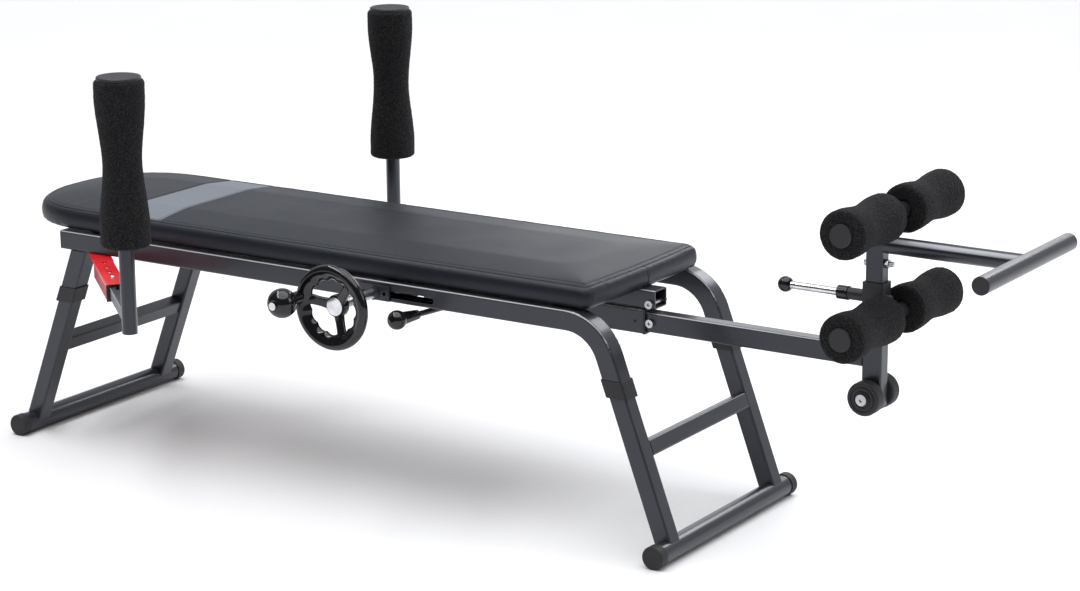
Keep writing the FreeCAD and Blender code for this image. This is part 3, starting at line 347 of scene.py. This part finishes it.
# ---- mesh helpers -------------------------------------------------------------------------------
def mesh_piece(name, points, faces, finish):
    mesh = bpy.data.meshes.new(name)
    mesh.from_pydata([tuple(p) for p in points], [], faces)
    mesh.validate()
    mesh.update()
    mesh.polygons.foreach_set("use_smooth", [True] * len(mesh.polygons))
    piece = bpy.data.objects.new(name, mesh)
    bpy.context.scene.collection.objects.link(piece)
    piece.data.materials.append(finish)
    return piece


def coordinates(mesh, of_each="co"):
    flat = np.zeros(len(mesh.vertices) * 3)
    mesh.vertices.foreach_get(of_each, flat)
    return flat.reshape(-1, 3)


def set_coordinates(mesh, points):
    mesh.vertices.foreach_set("co", np.asarray(points, float).ravel())
    mesh.update()


def bridge(ring_count, ring_size, first=0, closed=False):
    """Quads between successive rings of equal size; closed also joins the last ring to the first."""
    faces = []
    last = ring_count if closed else ring_count - 1
    for k in range(last):
        here = first + k * ring_size
        there = first + ((k + 1) % ring_count) * ring_size
        for j in range(ring_size):
            step = (j + 1) % ring_size
            faces.append((here + j, here + step, there + step, there + j))
    return faces


def end_caps(first, end, ring_size):
    """One face over the first ring, turned backwards, and one over the last."""
    return [tuple(range(first + ring_size - 1, first - 1, -1)), tuple(range(end - ring_size, end))]


def apply_modifiers(piece):
    evaluated = piece.evaluated_get(bpy.context.evaluated_depsgraph_get())
    final = bpy.data.meshes.new_from_object(evaluated)
    piece.modifiers.clear()
    old = piece.data
    piece.data = final
    bpy.data.meshes.remove(old)


def recalculate_normals(piece):
    shell = bmesh.new()
    shell.from_mesh(piece.data)
    bmesh.ops.recalc_face_normals(shell, faces=shell.faces)
    shell.to_mesh(piece.data)
    shell.free()


def bell(distance, width):
    """1 where the distance is 0, falling away over about the width on each side."""
    return np.exp(-((distance / width) ** 2))


# ---- pad ----------------------------------------------------------------------------------------
pad_low, pad_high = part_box("pad_cover")
BAND_FROM_TIP = (244 * MM, 344 * MM)       # grey band, measured from the pad's head tip
band_x = (pad_low.x + BAND_FROM_TIP[0], pad_low.x + BAND_FROM_TIP[1])

PAD_SLIMMER = 5 * MM                       # the cushion is this much inside its solid on each side
PAD_MIDDLE_Y = (pad_low.y + pad_high.y) / 2
PAD_HALF = (pad_high.y - pad_low.y) / 2 - PAD_SLIMMER
PAD_HEAD_LEN = 168 * MM                    # length of the rounded head end
HEAD_SQUARENESS = 2.3                      # exponent of the head end's superellipse
HEAD_STEPS = 120
FOOT_CORNER = 18 * MM
CORNER_STEPS = 9
FOOT_BOW = 4 * MM                          # how far the foot end swells outwards in its middle
OUTLINE_STEP = 4 * MM
# (inset from the outline, height above the pad's underside) in mm, up the side and on to the top
PAD_PROFILE = ((3, 0), (2, 2), (1.0, 8), (0.8, 16), (2.2, 24), (4.8, 29.5), (8.5, 33), (14, 35), (20, 36.4))
# (share of the way to the pad's middle line, height above its underside in mm) over the crown
TOP_RINGS = ((0.1, 38.5), (0.22, 39.2), (0.4, 39.4), (0.65, 39.5), (0.85, 39.5))

VOXEL = 5.5 * MM
HELD_HEIGHT = 3 * MM                       # while it is inflated, the vinyl is held below this height
HELD_BY_SEAM = 2.5 * MM                    # and this near the seam
PUFF_CAP = 3.5 * MM                        # the inflation moves no point further than this

SEAM_IN = 14 * MM                          # the seam lies this far inside the widest outline
SEAM_DOWN = 7 * MM                         # and this far below the top
seam_z = pad_high.z - SEAM_DOWN
SEAM_PULL, SEAM_PULL_WIDTH = 1.1 * MM, 4.5 * MM
SEAM_PULL_VARIES = 0.5 * MM
GATHER_PITCH = 0.31                        # noise features for each outline point
GATHER_RIPPLE, GATHER_WIDTH = 0.35 * MM, 9 * MM
BAND_PULL, BAND_PULL_WIDTH = 0.8 * MM, 3 * MM
FOOT_PULL, FOOT_PULL_WIDTH = 0.6 * MM, 3.5 * MM
FOOT_FACE = 12 * MM                        # the foot end's side panel starts this far from the end

UNDERSIDE = 1 * MM                         # points lower than this stay put when the seams pull
FOLD_REACH = 8 * MM                        # the turned-under part of the side is below this height
FOLD_START = 5.5 * MM                      # underneath, the vinyl covers the board's edge from here
FOLD_WIDTH = 26 * MM                       # to here
FOLD_PROUD = 0.4 * MM
BOARD_INSET = 2 * MM                       # inside the fold, the cushion ends this far above the board's face


def pad_outline():
    """Plan of the pad as (point, outward normal) pairs, anticlockwise from the near foot corner."""
    head_x = pad_low.x + PAD_HEAD_LEN
    foot_x = pad_high.x
    points = []

    def straight(a, b):
        count = max(2, round((Vector(b) - Vector(a)).length / OUTLINE_STEP))
        for i in range(count):
            points.append(Vector(a).lerp(Vector(b), i / count))

    def corner(cx, cy, start):
        for i in range(CORNER_STEPS):
            angle = start + math.pi / 2 * i / CORNER_STEPS
            points.append(Vector((cx + FOOT_CORNER * math.cos(angle), cy + FOOT_CORNER * math.sin(angle))))

    inner = PAD_HALF - FOOT_CORNER
    corner(foot_x - FOOT_CORNER, -inner, -math.pi / 2)
    across = round(2 * inner / OUTLINE_STEP)
    for i in range(across):
        y = -inner + 2 * inner * i / across
        points.append(Vector((foot_x + FOOT_BOW * (1 - (y / inner) ** 2), y)))
    corner(foot_x - FOOT_CORNER, inner, 0.0)
    straight((foot_x - FOOT_CORNER, PAD_HALF), (head_x, PAD_HALF))
    power = 2 / HEAD_SQUARENESS
    for i in range(HEAD_STEPS):
        angle = math.pi / 2 + math.pi * i / HEAD_STEPS
        c, s = math.cos(angle), math.sin(angle)
        points.append(Vector((head_x - PAD_HEAD_LEN * abs(c) ** power,
                              PAD_HALF * math.copysign(abs(s) ** power, s))))
    straight((head_x, -PAD_HALF), (foot_x - FOOT_CORNER, -PAD_HALF))

    loop = []
    for i, point in enumerate(points):
        run = points[(i + 1) % len(points)] - points[i - 1]
        outward = Vector((run.y, -run.x)).normalized()
        loop.append((Vector((point.x, point.y + PAD_MIDDLE_Y)), outward))
    return loop


def pad_form(loop):
    """Closed, slightly crowned cushion before it is inflated."""
    first_x = pad_low.x + PAD_HEAD_LEN
    last_x = pad_high.x - PAD_HALF
    points = []
    for inset, height in PAD_PROFILE:
        for point, outward in loop:
            at = point - outward * inset * MM
            points.append((at.x, at.y, pad_low.z + height * MM))
    edge = [point - outward * PAD_PROFILE[-1][0] * MM for point, outward in loop]
    for share, height in TOP_RINGS:
        for at in edge:
            middle = Vector((min(max(at.x, first_x), last_x), PAD_MIDDLE_Y))
            inner = at.lerp(middle, share)
            points.append((inner.x, inner.y, pad_low.z + height * MM))
    ring = len(loop)
    faces = bridge(len(PAD_PROFILE) + len(TOP_RINGS), ring) + end_caps(0, len(points), ring)
    return mesh_piece("pad_cushion", points, faces, black_vinyl("pad_vinyl", band_x))


def outline_distance(points, loop):
    """For each point: how far it is inside the outline in plan, and the nearest outline point's number."""
    tree = kdtree.KDTree(len(loop))
    for number, (point, _) in enumerate(loop):
        tree.insert((point.x, point.y, 0), number)
    tree.balance()
    inside = np.zeros(len(points))
    nearest = np.zeros(len(points), int)
    for i, p in enumerate(points):
        _, number, _ = tree.find((p[0], p[1], 0))
        point, outward = loop[number]
        inside[i] = (point.x - p[0]) * outward.x + (point.y - p[1]) * outward.y
        nearest[i] = number
    return inside, nearest


def from_seam(points, inside):
    """Signed distance across the seam: positive on the top panel, negative on the side panel."""
    return (inside - SEAM_IN + (points[:, 2] - seam_z)) / math.sqrt(2)


def inflate(piece, held, pressure=4.0, frames=20):
    """Blow the cushion up as cloth, holding the listed points, and cap how far any point moves."""
    rest = coordinates(piece.data)
    group = piece.vertex_groups.new(name="held")
    group.add([int(i) for i in held], 1.0, "REPLACE")
    cloth = piece.modifiers.new("cloth", "CLOTH")
    cloth.settings.use_pressure = True
    cloth.settings.uniform_pressure_force = pressure
    cloth.settings.vertex_group_mass = group.name
    cloth.settings.effector_weights.gravity = 0.0
    cloth.settings.tension_stiffness = 30.0
    cloth.settings.compression_stiffness = 30.0
    cloth.settings.bending_stiffness = 2.0
    cloth.point_cache.frame_start = 1
    cloth.point_cache.frame_end = frames
    scene = bpy.context.scene
    for step in range(1, frames + 1):
        scene.frame_set(step)
    evaluated = piece.evaluated_get(bpy.context.evaluated_depsgraph_get())
    swollen = coordinates(evaluated.data)
    piece.modifiers.clear()
    piece.vertex_groups.clear()
    scene.frame_set(1)
    move = swollen - rest
    length = np.linalg.norm(move, axis=1)
    move *= (np.minimum(length, PUFF_CAP) / np.maximum(length, 1e-9))[:, None]
    set_coordinates(piece.data, rest + move)


def seam_shift(points, across, nearest, outline_count):
    """How far each point moves along its normal where the seams draw the vinyl in."""
    spots = [Vector((number * GATHER_PITCH, 0.0, 4.2)) for number in range(outline_count)]
    gather = np.array([noise.noise(spot) for spot in spots])[nearest]
    pull = (SEAM_PULL + SEAM_PULL_VARIES * gather) * bell(across, SEAM_PULL_WIDTH)
    ripple = GATHER_RIPPLE * gather * bell(across + GATHER_WIDTH, GATHER_WIDTH)
    for x in band_x:
        pull += BAND_PULL * bell(points[:, 0] - x, BAND_PULL_WIDTH) * (across > 0)
    on_foot_side = (points[:, 0] > pad_high.x - FOOT_FACE) & (across < 0)
    pull += FOOT_PULL * bell(points[:, 1] - PAD_MIDDLE_Y, FOOT_PULL_WIDTH) * on_foot_side
    return np.where(points[:, 2] < pad_low.z + UNDERSIDE, 0.0, ripple - pull)


def build_pad():
    loop = pad_outline()
    pad = pad_form(loop)
    remesh = pad.modifiers.new("remesh", "REMESH")
    remesh.mode = "VOXEL"
    remesh.voxel_size = VOXEL
    remesh.use_smooth_shade = True
    apply_modifiers(pad)
    points = coordinates(pad.data)
    inside, _ = outline_distance(points, loop)
    resting = points[:, 2] < pad_low.z + HELD_HEIGHT
    sewn = np.abs(from_seam(points, inside)) < HELD_BY_SEAM
    inflate(pad, np.nonzero(resting | sewn)[0])
    divide = pad.modifiers.new("divide", "SUBSURF")
    divide.levels = divide.render_levels = 1
    apply_modifiers(pad)

    points = coordinates(pad.data)
    inside, nearest = outline_distance(points, loop)
    across = from_seam(points, inside)
    normals = coordinates(pad.data, "normal")
    points = points + normals * seam_shift(points, across, nearest, len(loop))[:, None]
    # underneath, the vinyl is folded over the board's edge and the board shows inside that border
    facing_down = (normals[:, 2] < -0.35) & (points[:, 2] < pad_low.z + FOLD_REACH)
    border = facing_down & (inside > FOLD_START) & (inside < FOLD_WIDTH)
    points[:, 2] = np.where(border, pad_low.z - FOLD_PROUD, points[:, 2])
    over_board = facing_down & (inside >= FOLD_WIDTH)
    points[:, 2] = np.where(over_board, pad_low.z + BOARD_INSET, points[:, 2])
    set_coordinates(pad.data, points)
    attribute = pad.data.attributes.new("from_seam", "FLOAT", "POINT")
    attribute.data.foreach_set("value", across.astype(np.float32))
    pad.data.polygons.foreach_set("use_smooth", [True] * len(pad.data.polygons))
    return pad, loop


# ---- welts and stitching on the pad -------------------------------------------------------------
STITCH_LENGTH = 3.6 * MM
STITCH_PITCH = 5.2 * MM
THREAD_R = 0.42 * MM
THREAD_SIDES = 6
# (position along the stitch, share of the thread's radius)
STITCH_SHAPE = ((-0.5, 0.25), (-0.42, 0.8), (-0.2, 1.0), (0.2, 1.0), (0.42, 0.8), (0.5, 0.25))
STITCH_ROW_IN = 6.5 * MM                   # the row round the top lies this far inside the seam
STITCH_ROW_RISE = 1.5 * MM                 # and is aimed this much higher
BAND_STITCH_OFF = 3 * MM                   # rows on both sides of each of the grey band's seams
BAND_STITCH_MARGIN = 2 * MM
BAND_STITCH_STEPS = 90
WELT_STEP = 3 * MM
WELT_SIDES = 12
SEAM_WELT = (3.6 * MM, 1.5 * MM)           # half width and height
FOOT_WELT = (1.3 * MM, 0.9 * MM)
FOOT_SEAM_FROM, FOOT_SEAM_STEP, FOOT_SEAM_POINTS = 5 * MM, 2.1 * MM, 13


def surface_finder(piece):
    """A function that returns the first (point, normal) on the piece along a ray."""
    tree = BVHTree.FromObject(piece, bpy.context.evaluated_depsgraph_get())

    def find(start, towards):
        direction = (towards - start).normalized()
        point, normal, _, _ = tree.ray_cast(start, direction)
        return (point, normal) if point is not None else (towards, -direction)

    return find


def resampled(path, pitch, closed):
    """(point, normal, tangent) every pitch along a path of (point, normal) pairs."""
    spots = path + path[:1] if closed else path
    lengths = [0.0]
    for (a, _), (b, _) in zip(spots, spots[1:]):
        lengths.append(lengths[-1] + (b - a).length)
    count = int(lengths[-1] / pitch)
    found = []
    segment = 0
    for i in range(count):
        target = (i + 0.5) * lengths[-1] / count
        while lengths[segment + 1] < target:
            segment += 1
        (a, na), (b, nb) = spots[segment], spots[segment + 1]
        share = (target - lengths[segment]) / max(lengths[segment + 1] - lengths[segment], 1e-9)
        found.append((a.lerp(b, share), na.lerp(nb, share).normalized(), (b - a).normalized()))
    return found


def stitches(name, paths):
    """Rows of separate thread stitches lying on the vinyl, dipping in at both ends."""
    points = []
    faces = []
    for path, closed in paths:
        for spot, up, run in resampled(path, STITCH_PITCH, closed):
            side = up.cross(run).normalized()
            first = len(points)
            for along, share in STITCH_SHAPE:
                dip = THREAD_R * (1.0 - 5.0 * along * along)
                middle = spot + run * along * STITCH_LENGTH + up * dip
                for k in range(THREAD_SIDES):
                    angle = 2 * math.pi * k / THREAD_SIDES
                    outward = side * math.cos(angle) + up * math.sin(angle)
                    points.append(middle + outward * THREAD_R * share)
            faces += bridge(len(STITCH_SHAPE), THREAD_SIDES, first)
            faces += end_caps(first, len(points), THREAD_SIDES)
    return mesh_piece(name, points, faces, sewing_thread())


def welt(name, path, closed, half_width, height):
    """The raised edge of a seam: a low bead swept along a path that lies on the vinyl."""
    points = []
    spots = resampled(path, WELT_STEP, closed)
    for spot, up, run in spots:
        side = up.cross(run).normalized()
        for k in range(WELT_SIDES):
            angle = 2 * math.pi * k / WELT_SIDES
            points.append(spot + side * half_width * math.cos(angle) + up * height * math.sin(angle))
    faces = bridge(len(spots), WELT_SIDES, closed=closed)
    if not closed:
        faces += end_caps(0, len(points), WELT_SIDES)
    return mesh_piece(name, points, faces, FINISHES["black_vinyl"])


def dress_pad(pad, loop):
    """Welts and stitching along the pad's seams."""
    find = surface_finder(pad)

    def on_shoulder(inset, rise):
        path = []
        for point, outward in loop:
            flat_out = Vector((outward.x, outward.y, 0.0))
            aim = Vector((point.x, point.y, seam_z + rise)) - flat_out * inset
            path.append(find(aim + (flat_out + UP) * 30 * MM, aim))
        return path

    def across_top(x):
        path = []
        reach = PAD_HALF - SEAM_IN - BAND_STITCH_MARGIN
        for i in range(BAND_STITCH_STEPS + 1):
            y = PAD_MIDDLE_Y - reach + 2 * reach * i / BAND_STITCH_STEPS
            aim = Vector((x, y, seam_z))
            path.append(find(aim + UP * 50 * MM, aim))
        return path

    foot_path = []
    for i in range(FOOT_SEAM_POINTS):
        height = FOOT_SEAM_FROM + FOOT_SEAM_STEP * i
        aim = Vector((pad_high.x - 20 * MM, PAD_MIDDLE_Y, pad_low.z + height))
        foot_path.append(find(aim + Vector((80 * MM, 0, 0)), aim))

    seam_welt = welt("pad_seam_welt", on_shoulder(SEAM_IN, 0.0), True, *SEAM_WELT)
    foot_welt = welt("pad_foot_seam", foot_path, False, *FOOT_WELT)
    rows = [(on_shoulder(SEAM_IN + STITCH_ROW_IN, STITCH_ROW_RISE), True)]
    for x in band_x:
        rows.append((across_top(x - BAND_STITCH_OFF), False))
        rows.append((across_top(x + BAND_STITCH_OFF), False))
    thread = stitches("pad_stitching", rows)
    for piece in (seam_welt, foot_welt, thread):
        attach(piece, "frame")


pad, pad_loop = build_pad()
dress_pad(pad, pad_loop)
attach(pad, "frame")
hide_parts("pad_cover", "pad_foam")


# ---- foam sleeves -------------------------------------------------------------------------------
FOAM_CELL = 2.2 * MM
FOAM_EDGE = 7 * MM                 # radius of the rounded ends
EDGE_STEPS = 6
FOAM_BORE_R = 13.2 * MM
BORE_ROLL = 2.5 * MM               # the end faces roll into the bore over this width
BORE_DIPS = (1.2 * MM, 0.3 * MM)   # and by these depths, at the bore and at the roll's outer edge
FOAM_PEBBLE, PEBBLES_PER_METRE = 0.6 * MM, 330
FOAM_LUMP, LUMPS_PER_METRE = 0.5 * MM, 28
ROUGH_FROM_BORE = 6 * MM           # the skin is smooth at the bore and fully rough from here outwards
SKIN_ALLOWANCE = 0.4 * MM          # the ends are this much smaller, which leaves room for the pebbles
WAIST_FROM, WAIST_SPAN = 0.1, 0.8  # shares of the length
ROLLER_WAIST = 0.87                # radius at the waist, as a share of the ends' radius
ARMPIT_WAIST = 0.78
ARMPIT_TRIM = 9 * MM               # the armpit foams end this much above their solids' lower ends
ALONG_AXIS_Y, ALONG_AXIS_Z = 1, 2


def sleeve_profile(length, end_r, waist_r):
    """(distance along, radius) of a waisted sleeve with soft rounded ends, from bore to bore."""

    def end_face(at, sign):
        lip = FOAM_BORE_R + BORE_ROLL
        face = [(at + sign * BORE_DIPS[0], FOAM_BORE_R), (at + sign * BORE_DIPS[1], lip)]
        flat_steps = max(2, round((end_r - FOAM_EDGE - FOAM_BORE_R) / FOAM_CELL))
        for i in range(1, flat_steps):
            face.append((at, lip + (end_r - FOAM_EDGE - lip) * i / flat_steps))
        for i in range(EDGE_STEPS):
            angle = math.pi / 2 * i / EDGE_STEPS
            radius = end_r - FOAM_EDGE * (1 - math.sin(angle))
            face.append((at + sign * FOAM_EDGE * (1 - math.cos(angle)), radius))
        return face

    profile = end_face(0.0, 1)
    steps = round((length - 2 * FOAM_EDGE) / FOAM_CELL)
    for i in range(steps + 1):
        at = FOAM_EDGE + (length - 2 * FOAM_EDGE) * i / steps
        share = min(max((at / length - WAIST_FROM) / WAIST_SPAN, 0.0), 1.0)
        waist = 0.5 - 0.5 * math.cos(2 * math.pi * share)
        profile.append((at, end_r - (end_r - waist_r) * waist))
    profile += list(reversed(end_face(length, -1)))
    return profile


def foam_sleeve(name, node, axis, waist_share, body, trim=0.0):
    """Foam sleeve in place of a CAD node, along Y or Z; trim shortens its low end."""
    low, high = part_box(node)
    low[axis] += trim
    end_r = (high.x - low.x) / 2
    middle = (low + high) / 2
    profile = sleeve_profile(high[axis] - low[axis], end_r - SKIN_ALLOWANCE, end_r * waist_share)
    around = round(2 * math.pi * end_r / FOAM_CELL)
    seed = Vector((11.0 * sum(ord(letter) for letter in name) % 97, 3.0, 7.0))
    points = []
    for at, radius in profile:
        for k in range(around):
            angle = 2 * math.pi * k / around
            spot = Vector((radius * math.cos(angle), radius * math.sin(angle), at))
            rough = min(1.0, (radius - FOAM_BORE_R) / ROUGH_FROM_BORE)
            pebble = noise.noise(spot * PEBBLES_PER_METRE + seed) * FOAM_PEBBLE
            lump = noise.noise(spot * LUMPS_PER_METRE + seed) * FOAM_LUMP
            spot += Vector((math.cos(angle), math.sin(angle), 0)) * (pebble + lump) * rough
            if axis == ALONG_AXIS_Y:
                points.append((middle.x + spot.x, low.y + spot.z, middle.z - spot.y))
            else:
                points.append((middle.x + spot.x, middle.y + spot.y, low.z + spot.z))
    faces = bridge(len(profile), around, closed=True)
    piece = mesh_piece(name, points, faces, FINISHES["black_foam"])
    piece.data.flip_normals()
    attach(piece, body)
    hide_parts(node)


for side in ("near", "far"):
    for level in ("lower", "upper"):
        node = f"{side}_{level}_roller"
        foam_sleeve(f"{node}_foam", node, ALONG_AXIS_Y, ROLLER_WAIST, node)
    foam_sleeve(f"{side}_armpit_foam", f"{side}_post_foam", ALONG_AXIS_Z, ARMPIT_WAIST, f"{side}_arm",
                ARMPIT_TRIM)


# ---- handwheel ----------------------------------------------------------------------------------
RIM_R = 61 * MM
BEAD_R = 9 * MM
RIM_TURNS, RIM_SECTION = 180, 28
FLANGE = 7.5 * MM                  # how far the scalloped flange reaches in from the round rim
FLANGE_THINNING = 0.25             # share of the bead's thickness that the flange loses
FLANGE_BACK = 3.5 * MM             # the flange's edge lies this far behind the bead's middle
SCALLOP = 3.4 * MM
SCALLOPS = 12
SCALLOP_MEAN = 0.6                 # about the mean of a rectified sine

SPOKES = 3
SPOKE_ANGLE = math.radians(170)
SPOKE_STEPS, SPOKE_SECTION = 14, 20
SPOKE_FROM = 12 * MM               # radii at which a spoke starts, inside the hub, and ends, in the rim
SPOKE_TO = RIM_R - BEAD_R - 2 * MM
SPOKE_HALF, SPOKE_WAIST = 9.4 * MM, 1.6 * MM
SPOKE_DEPTH, SPOKE_THINS = 5.0 * MM, 1.2 * MM
SPOKE_BACK, SPOKE_RISE = 13.5 * MM, 9.5 * MM
SIDE_SQUARENESS, FACE_SQUARENESS = 0.45, 0.6
GROOVE_DEPTH, GROOVE_WIDTH = 1.4 * MM, 0.55

# (radius, distance behind the rim's plane) in mm, round the shaft
HUB_PROFILE = ((5.2, 9.8), (17.0, 9.8), (17.6, 9.2), (18.0, 10.2),
               (18.6, 12.0), (18.6, 21.5), (17.5, 23.8), (5.2, 23.8))
HUB_SIDES = 72


def wheel_point(centre, radius, angle, y):
    return centre + Vector((radius * math.cos(angle), y, radius * math.sin(angle)))


def wheel_rim(centre):
    """A round bead whose inner side runs out into a thinner, scalloped flange."""
    points = []
    for i in range(RIM_TURNS):
        angle = SPOKE_ANGLE + 2 * math.pi * i / RIM_TURNS
        hollow = abs(math.sin(SCALLOPS / 2 * (angle - SPOKE_ANGLE) + math.pi / 4))
        reach = FLANGE - SCALLOP * (hollow - SCALLOP_MEAN)
        for k in range(RIM_SECTION):
            phi = 2 * math.pi * k / RIM_SECTION
            out, across = math.cos(phi), math.sin(phi)
            inward = max(0.0, -out)
            radius = RIM_R + BEAD_R * out - reach * inward ** 1.5
            y = BEAD_R * across * (1 - FLANGE_THINNING * inward) + FLANGE_BACK * inward ** 2
            points.append(wheel_point(centre, radius, angle, y))
    return points


def wheel_spoke(centre, angle):
    """A flat arm with rounded edges and a shallow groove along its front."""
    radial = Vector((math.cos(angle), 0, math.sin(angle)))
    sideways = Vector((-math.sin(angle), 0, math.cos(angle)))
    points = []
    for i in range(SPOKE_STEPS):
        share = i / (SPOKE_STEPS - 1)
        radius = SPOKE_FROM + (SPOKE_TO - SPOKE_FROM) * share
        half = SPOKE_HALF - SPOKE_WAIST * math.sin(math.pi * share)
        depth = SPOKE_DEPTH - SPOKE_THINS * share
        back = SPOKE_BACK - SPOKE_RISE * share
        for k in range(SPOKE_SECTION):
            phi = 2 * math.pi * k / SPOKE_SECTION
            c, s = math.cos(phi), math.sin(phi)
            across = half * math.copysign(abs(c) ** SIDE_SQUARENESS, c)
            front = depth * math.copysign(abs(s) ** FACE_SQUARENESS, s)
            if s < 0:
                hollow = max(0.0, 1 - (across / (GROOVE_WIDTH * half)) ** 2)
                front += GROOVE_DEPTH * hollow * math.sin(math.pi * share)
            points.append(centre + radial * radius + sideways * across + Vector((0, back + front, 0)))
    return points


def wheel_hub(centre):
    points = []
    for radius, y in HUB_PROFILE:
        for k in range(HUB_SIDES):
            points.append(wheel_point(centre, radius * MM, 2 * math.pi * k / HUB_SIDES, y * MM))
    return points


def build_handwheel():
    low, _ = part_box("handwheel")
    shaft_low, shaft_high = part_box("handwheel_shaft")
    shaft = (shaft_low + shaft_high) / 2
    centre = Vector((shaft.x, low.y + BEAD_R, shaft.z))
    points = wheel_rim(centre)
    faces = bridge(RIM_TURNS, RIM_SECTION, closed=True)
    for spoke in range(SPOKES):
        first = len(points)
        points += wheel_spoke(centre, SPOKE_ANGLE + spoke * 2 * math.pi / SPOKES)
        faces += bridge(SPOKE_STEPS, SPOKE_SECTION, first)
        faces += end_caps(first, len(points), SPOKE_SECTION)
    first = len(points)
    points += wheel_hub(centre)
    faces += bridge(len(HUB_PROFILE), HUB_SIDES, first, closed=True)

    wheel = mesh_piece("scalloped_handwheel", points, faces, FINISHES["gloss_black_plastic"])
    recalculate_normals(wheel)
    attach(wheel, "handwheel")
    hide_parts("handwheel")


build_handwheel()


# ---- floor, lights, camera ----------------------------------------------------------------------
FLOOR_HALF = 30.0

# the studio's brightness rises from low, in front, to high, towards its bright side
BRIGHT_SIDE = (-0.2, 0.93, 0.3)
WORLD_LOW, WORLD_HIGH = 0.10, 0.61
WORLD_COLOUR = (0.90, 0.94, 1.0)

TOWARDS_SUN = (0.12, -0.08, 1.0)
SUN_STRENGTH = 3.07
SUN_ANGLE = math.radians(74)

# (name, place, target, size, watts)
SOFTBOXES = (
    ("right_softbox", (3.3, 0.9, 1.9), (0.5, 0.0, 0.5), (1.4, 1.8), 21),
    ("edge_strip", (-1.0, -0.75, 2.4), (0.0, -0.18, 0.35), (3.0, 0.10), 18),
    ("back_softbox", (-0.6, 2.6, 1.2), (0.4, 0.0, 0.43), (1.8, 1.0), 7),
    ("back_strip", (0.5, 3.3, 2.5), (0.4, 0.0, 0.35), (1.6, 0.5), 24),
)

CAMERA_PLACE = (2.53376, -3.72276, 1.50532)
CAMERA_RIGHT = (0.83729, 0.54670, -0.00789)
CAMERA_FORWARD = (-0.53085, 0.80938, -0.25120)
CAMERA_LENS = 93.95                # both in the camera's own millimetres
CAMERA_SENSOR = 36.0


def build_floor():
    made, tree, shader = material("studio_floor")
    base = blend_colour(tree, grain(tree, 1.2), (0.80, 0.80, 0.81), (0.84, 0.84, 0.85))
    feed(tree, shader.inputs["Base Color"], base)
    feed(tree, shader.inputs["Roughness"], remap(tree, grain(tree, 3.0), 0.3, 0.7, 0.48, 0.56))
    corners = [(x * FLOOR_HALF, y * FLOOR_HALF, 0) for x, y in ((-1, -1), (1, -1), (1, 1), (-1, 1))]
    floor = mesh_piece("studio_floor", corners, [(0, 1, 2, 3)], made)


def area_light(name, place, target, size, power):
    lamp = bpy.data.lights.new(name, "AREA")
    lamp.shape = "RECTANGLE"
    lamp.size, lamp.size_y = size
    lamp.energy = power
    holder = bpy.data.objects.new(name, lamp)
    holder.location = place
    holder.rotation_euler = (Vector(target) - Vector(place)).to_track_quat("-Z", "Y").to_euler()
    bpy.context.scene.collection.objects.link(holder)


def overhead_sun():
    """A very wide sun: even light on the whole floor, with a soft shadow."""
    lamp = bpy.data.lights.new("overhead_light", "SUN")
    lamp.energy = SUN_STRENGTH
    lamp.angle = SUN_ANGLE
    holder = bpy.data.objects.new("overhead_light", lamp)
    holder.rotation_euler = Vector(TOWARDS_SUN).to_track_quat("Z", "Y").to_euler()
    bpy.context.scene.collection.objects.link(holder)


def build_world():
    world = bpy.data.worlds.new("studio")
    bpy.context.scene.world = world
    world.use_nodes = True
    tree = world.node_tree
    background = tree.nodes["Background"]
    direction = add(tree, "TexCoord").outputs["Generated"]
    both = {0: direction, 1: Vector(BRIGHT_SIDE).normalized()}
    facing = add(tree, "VectorMath", both, operation="DOT_PRODUCT").outputs["Value"]
    feed(tree, background.inputs["Color"], WORLD_COLOUR)
    feed(tree, background.inputs["Strength"], remap(tree, facing, -0.2, 0.85, WORLD_LOW, WORLD_HIGH))


def build_camera():
    camera_data = bpy.data.cameras.new("camera")
    camera_data.lens = CAMERA_LENS
    camera_data.sensor_width = CAMERA_SENSOR
    camera = bpy.data.objects.new("camera", camera_data)
    right = Vector(CAMERA_RIGHT).normalized()
    forward = Vector(CAMERA_FORWARD).normalized()
    up = right.cross(forward).normalized()
    axes = Matrix((right, up, -forward)).transposed().to_4x4()
    camera.matrix_world = Matrix.Translation(CAMERA_PLACE) @ axes
    bpy.context.scene.collection.objects.link(camera)
    bpy.context.scene.camera = camera


build_floor()
build_world()
overhead_sun()
for softbox in SOFTBOXES:
    area_light(*softbox)
build_camera()
bpy.context.scene.view_settings.view_transform = "Standard"
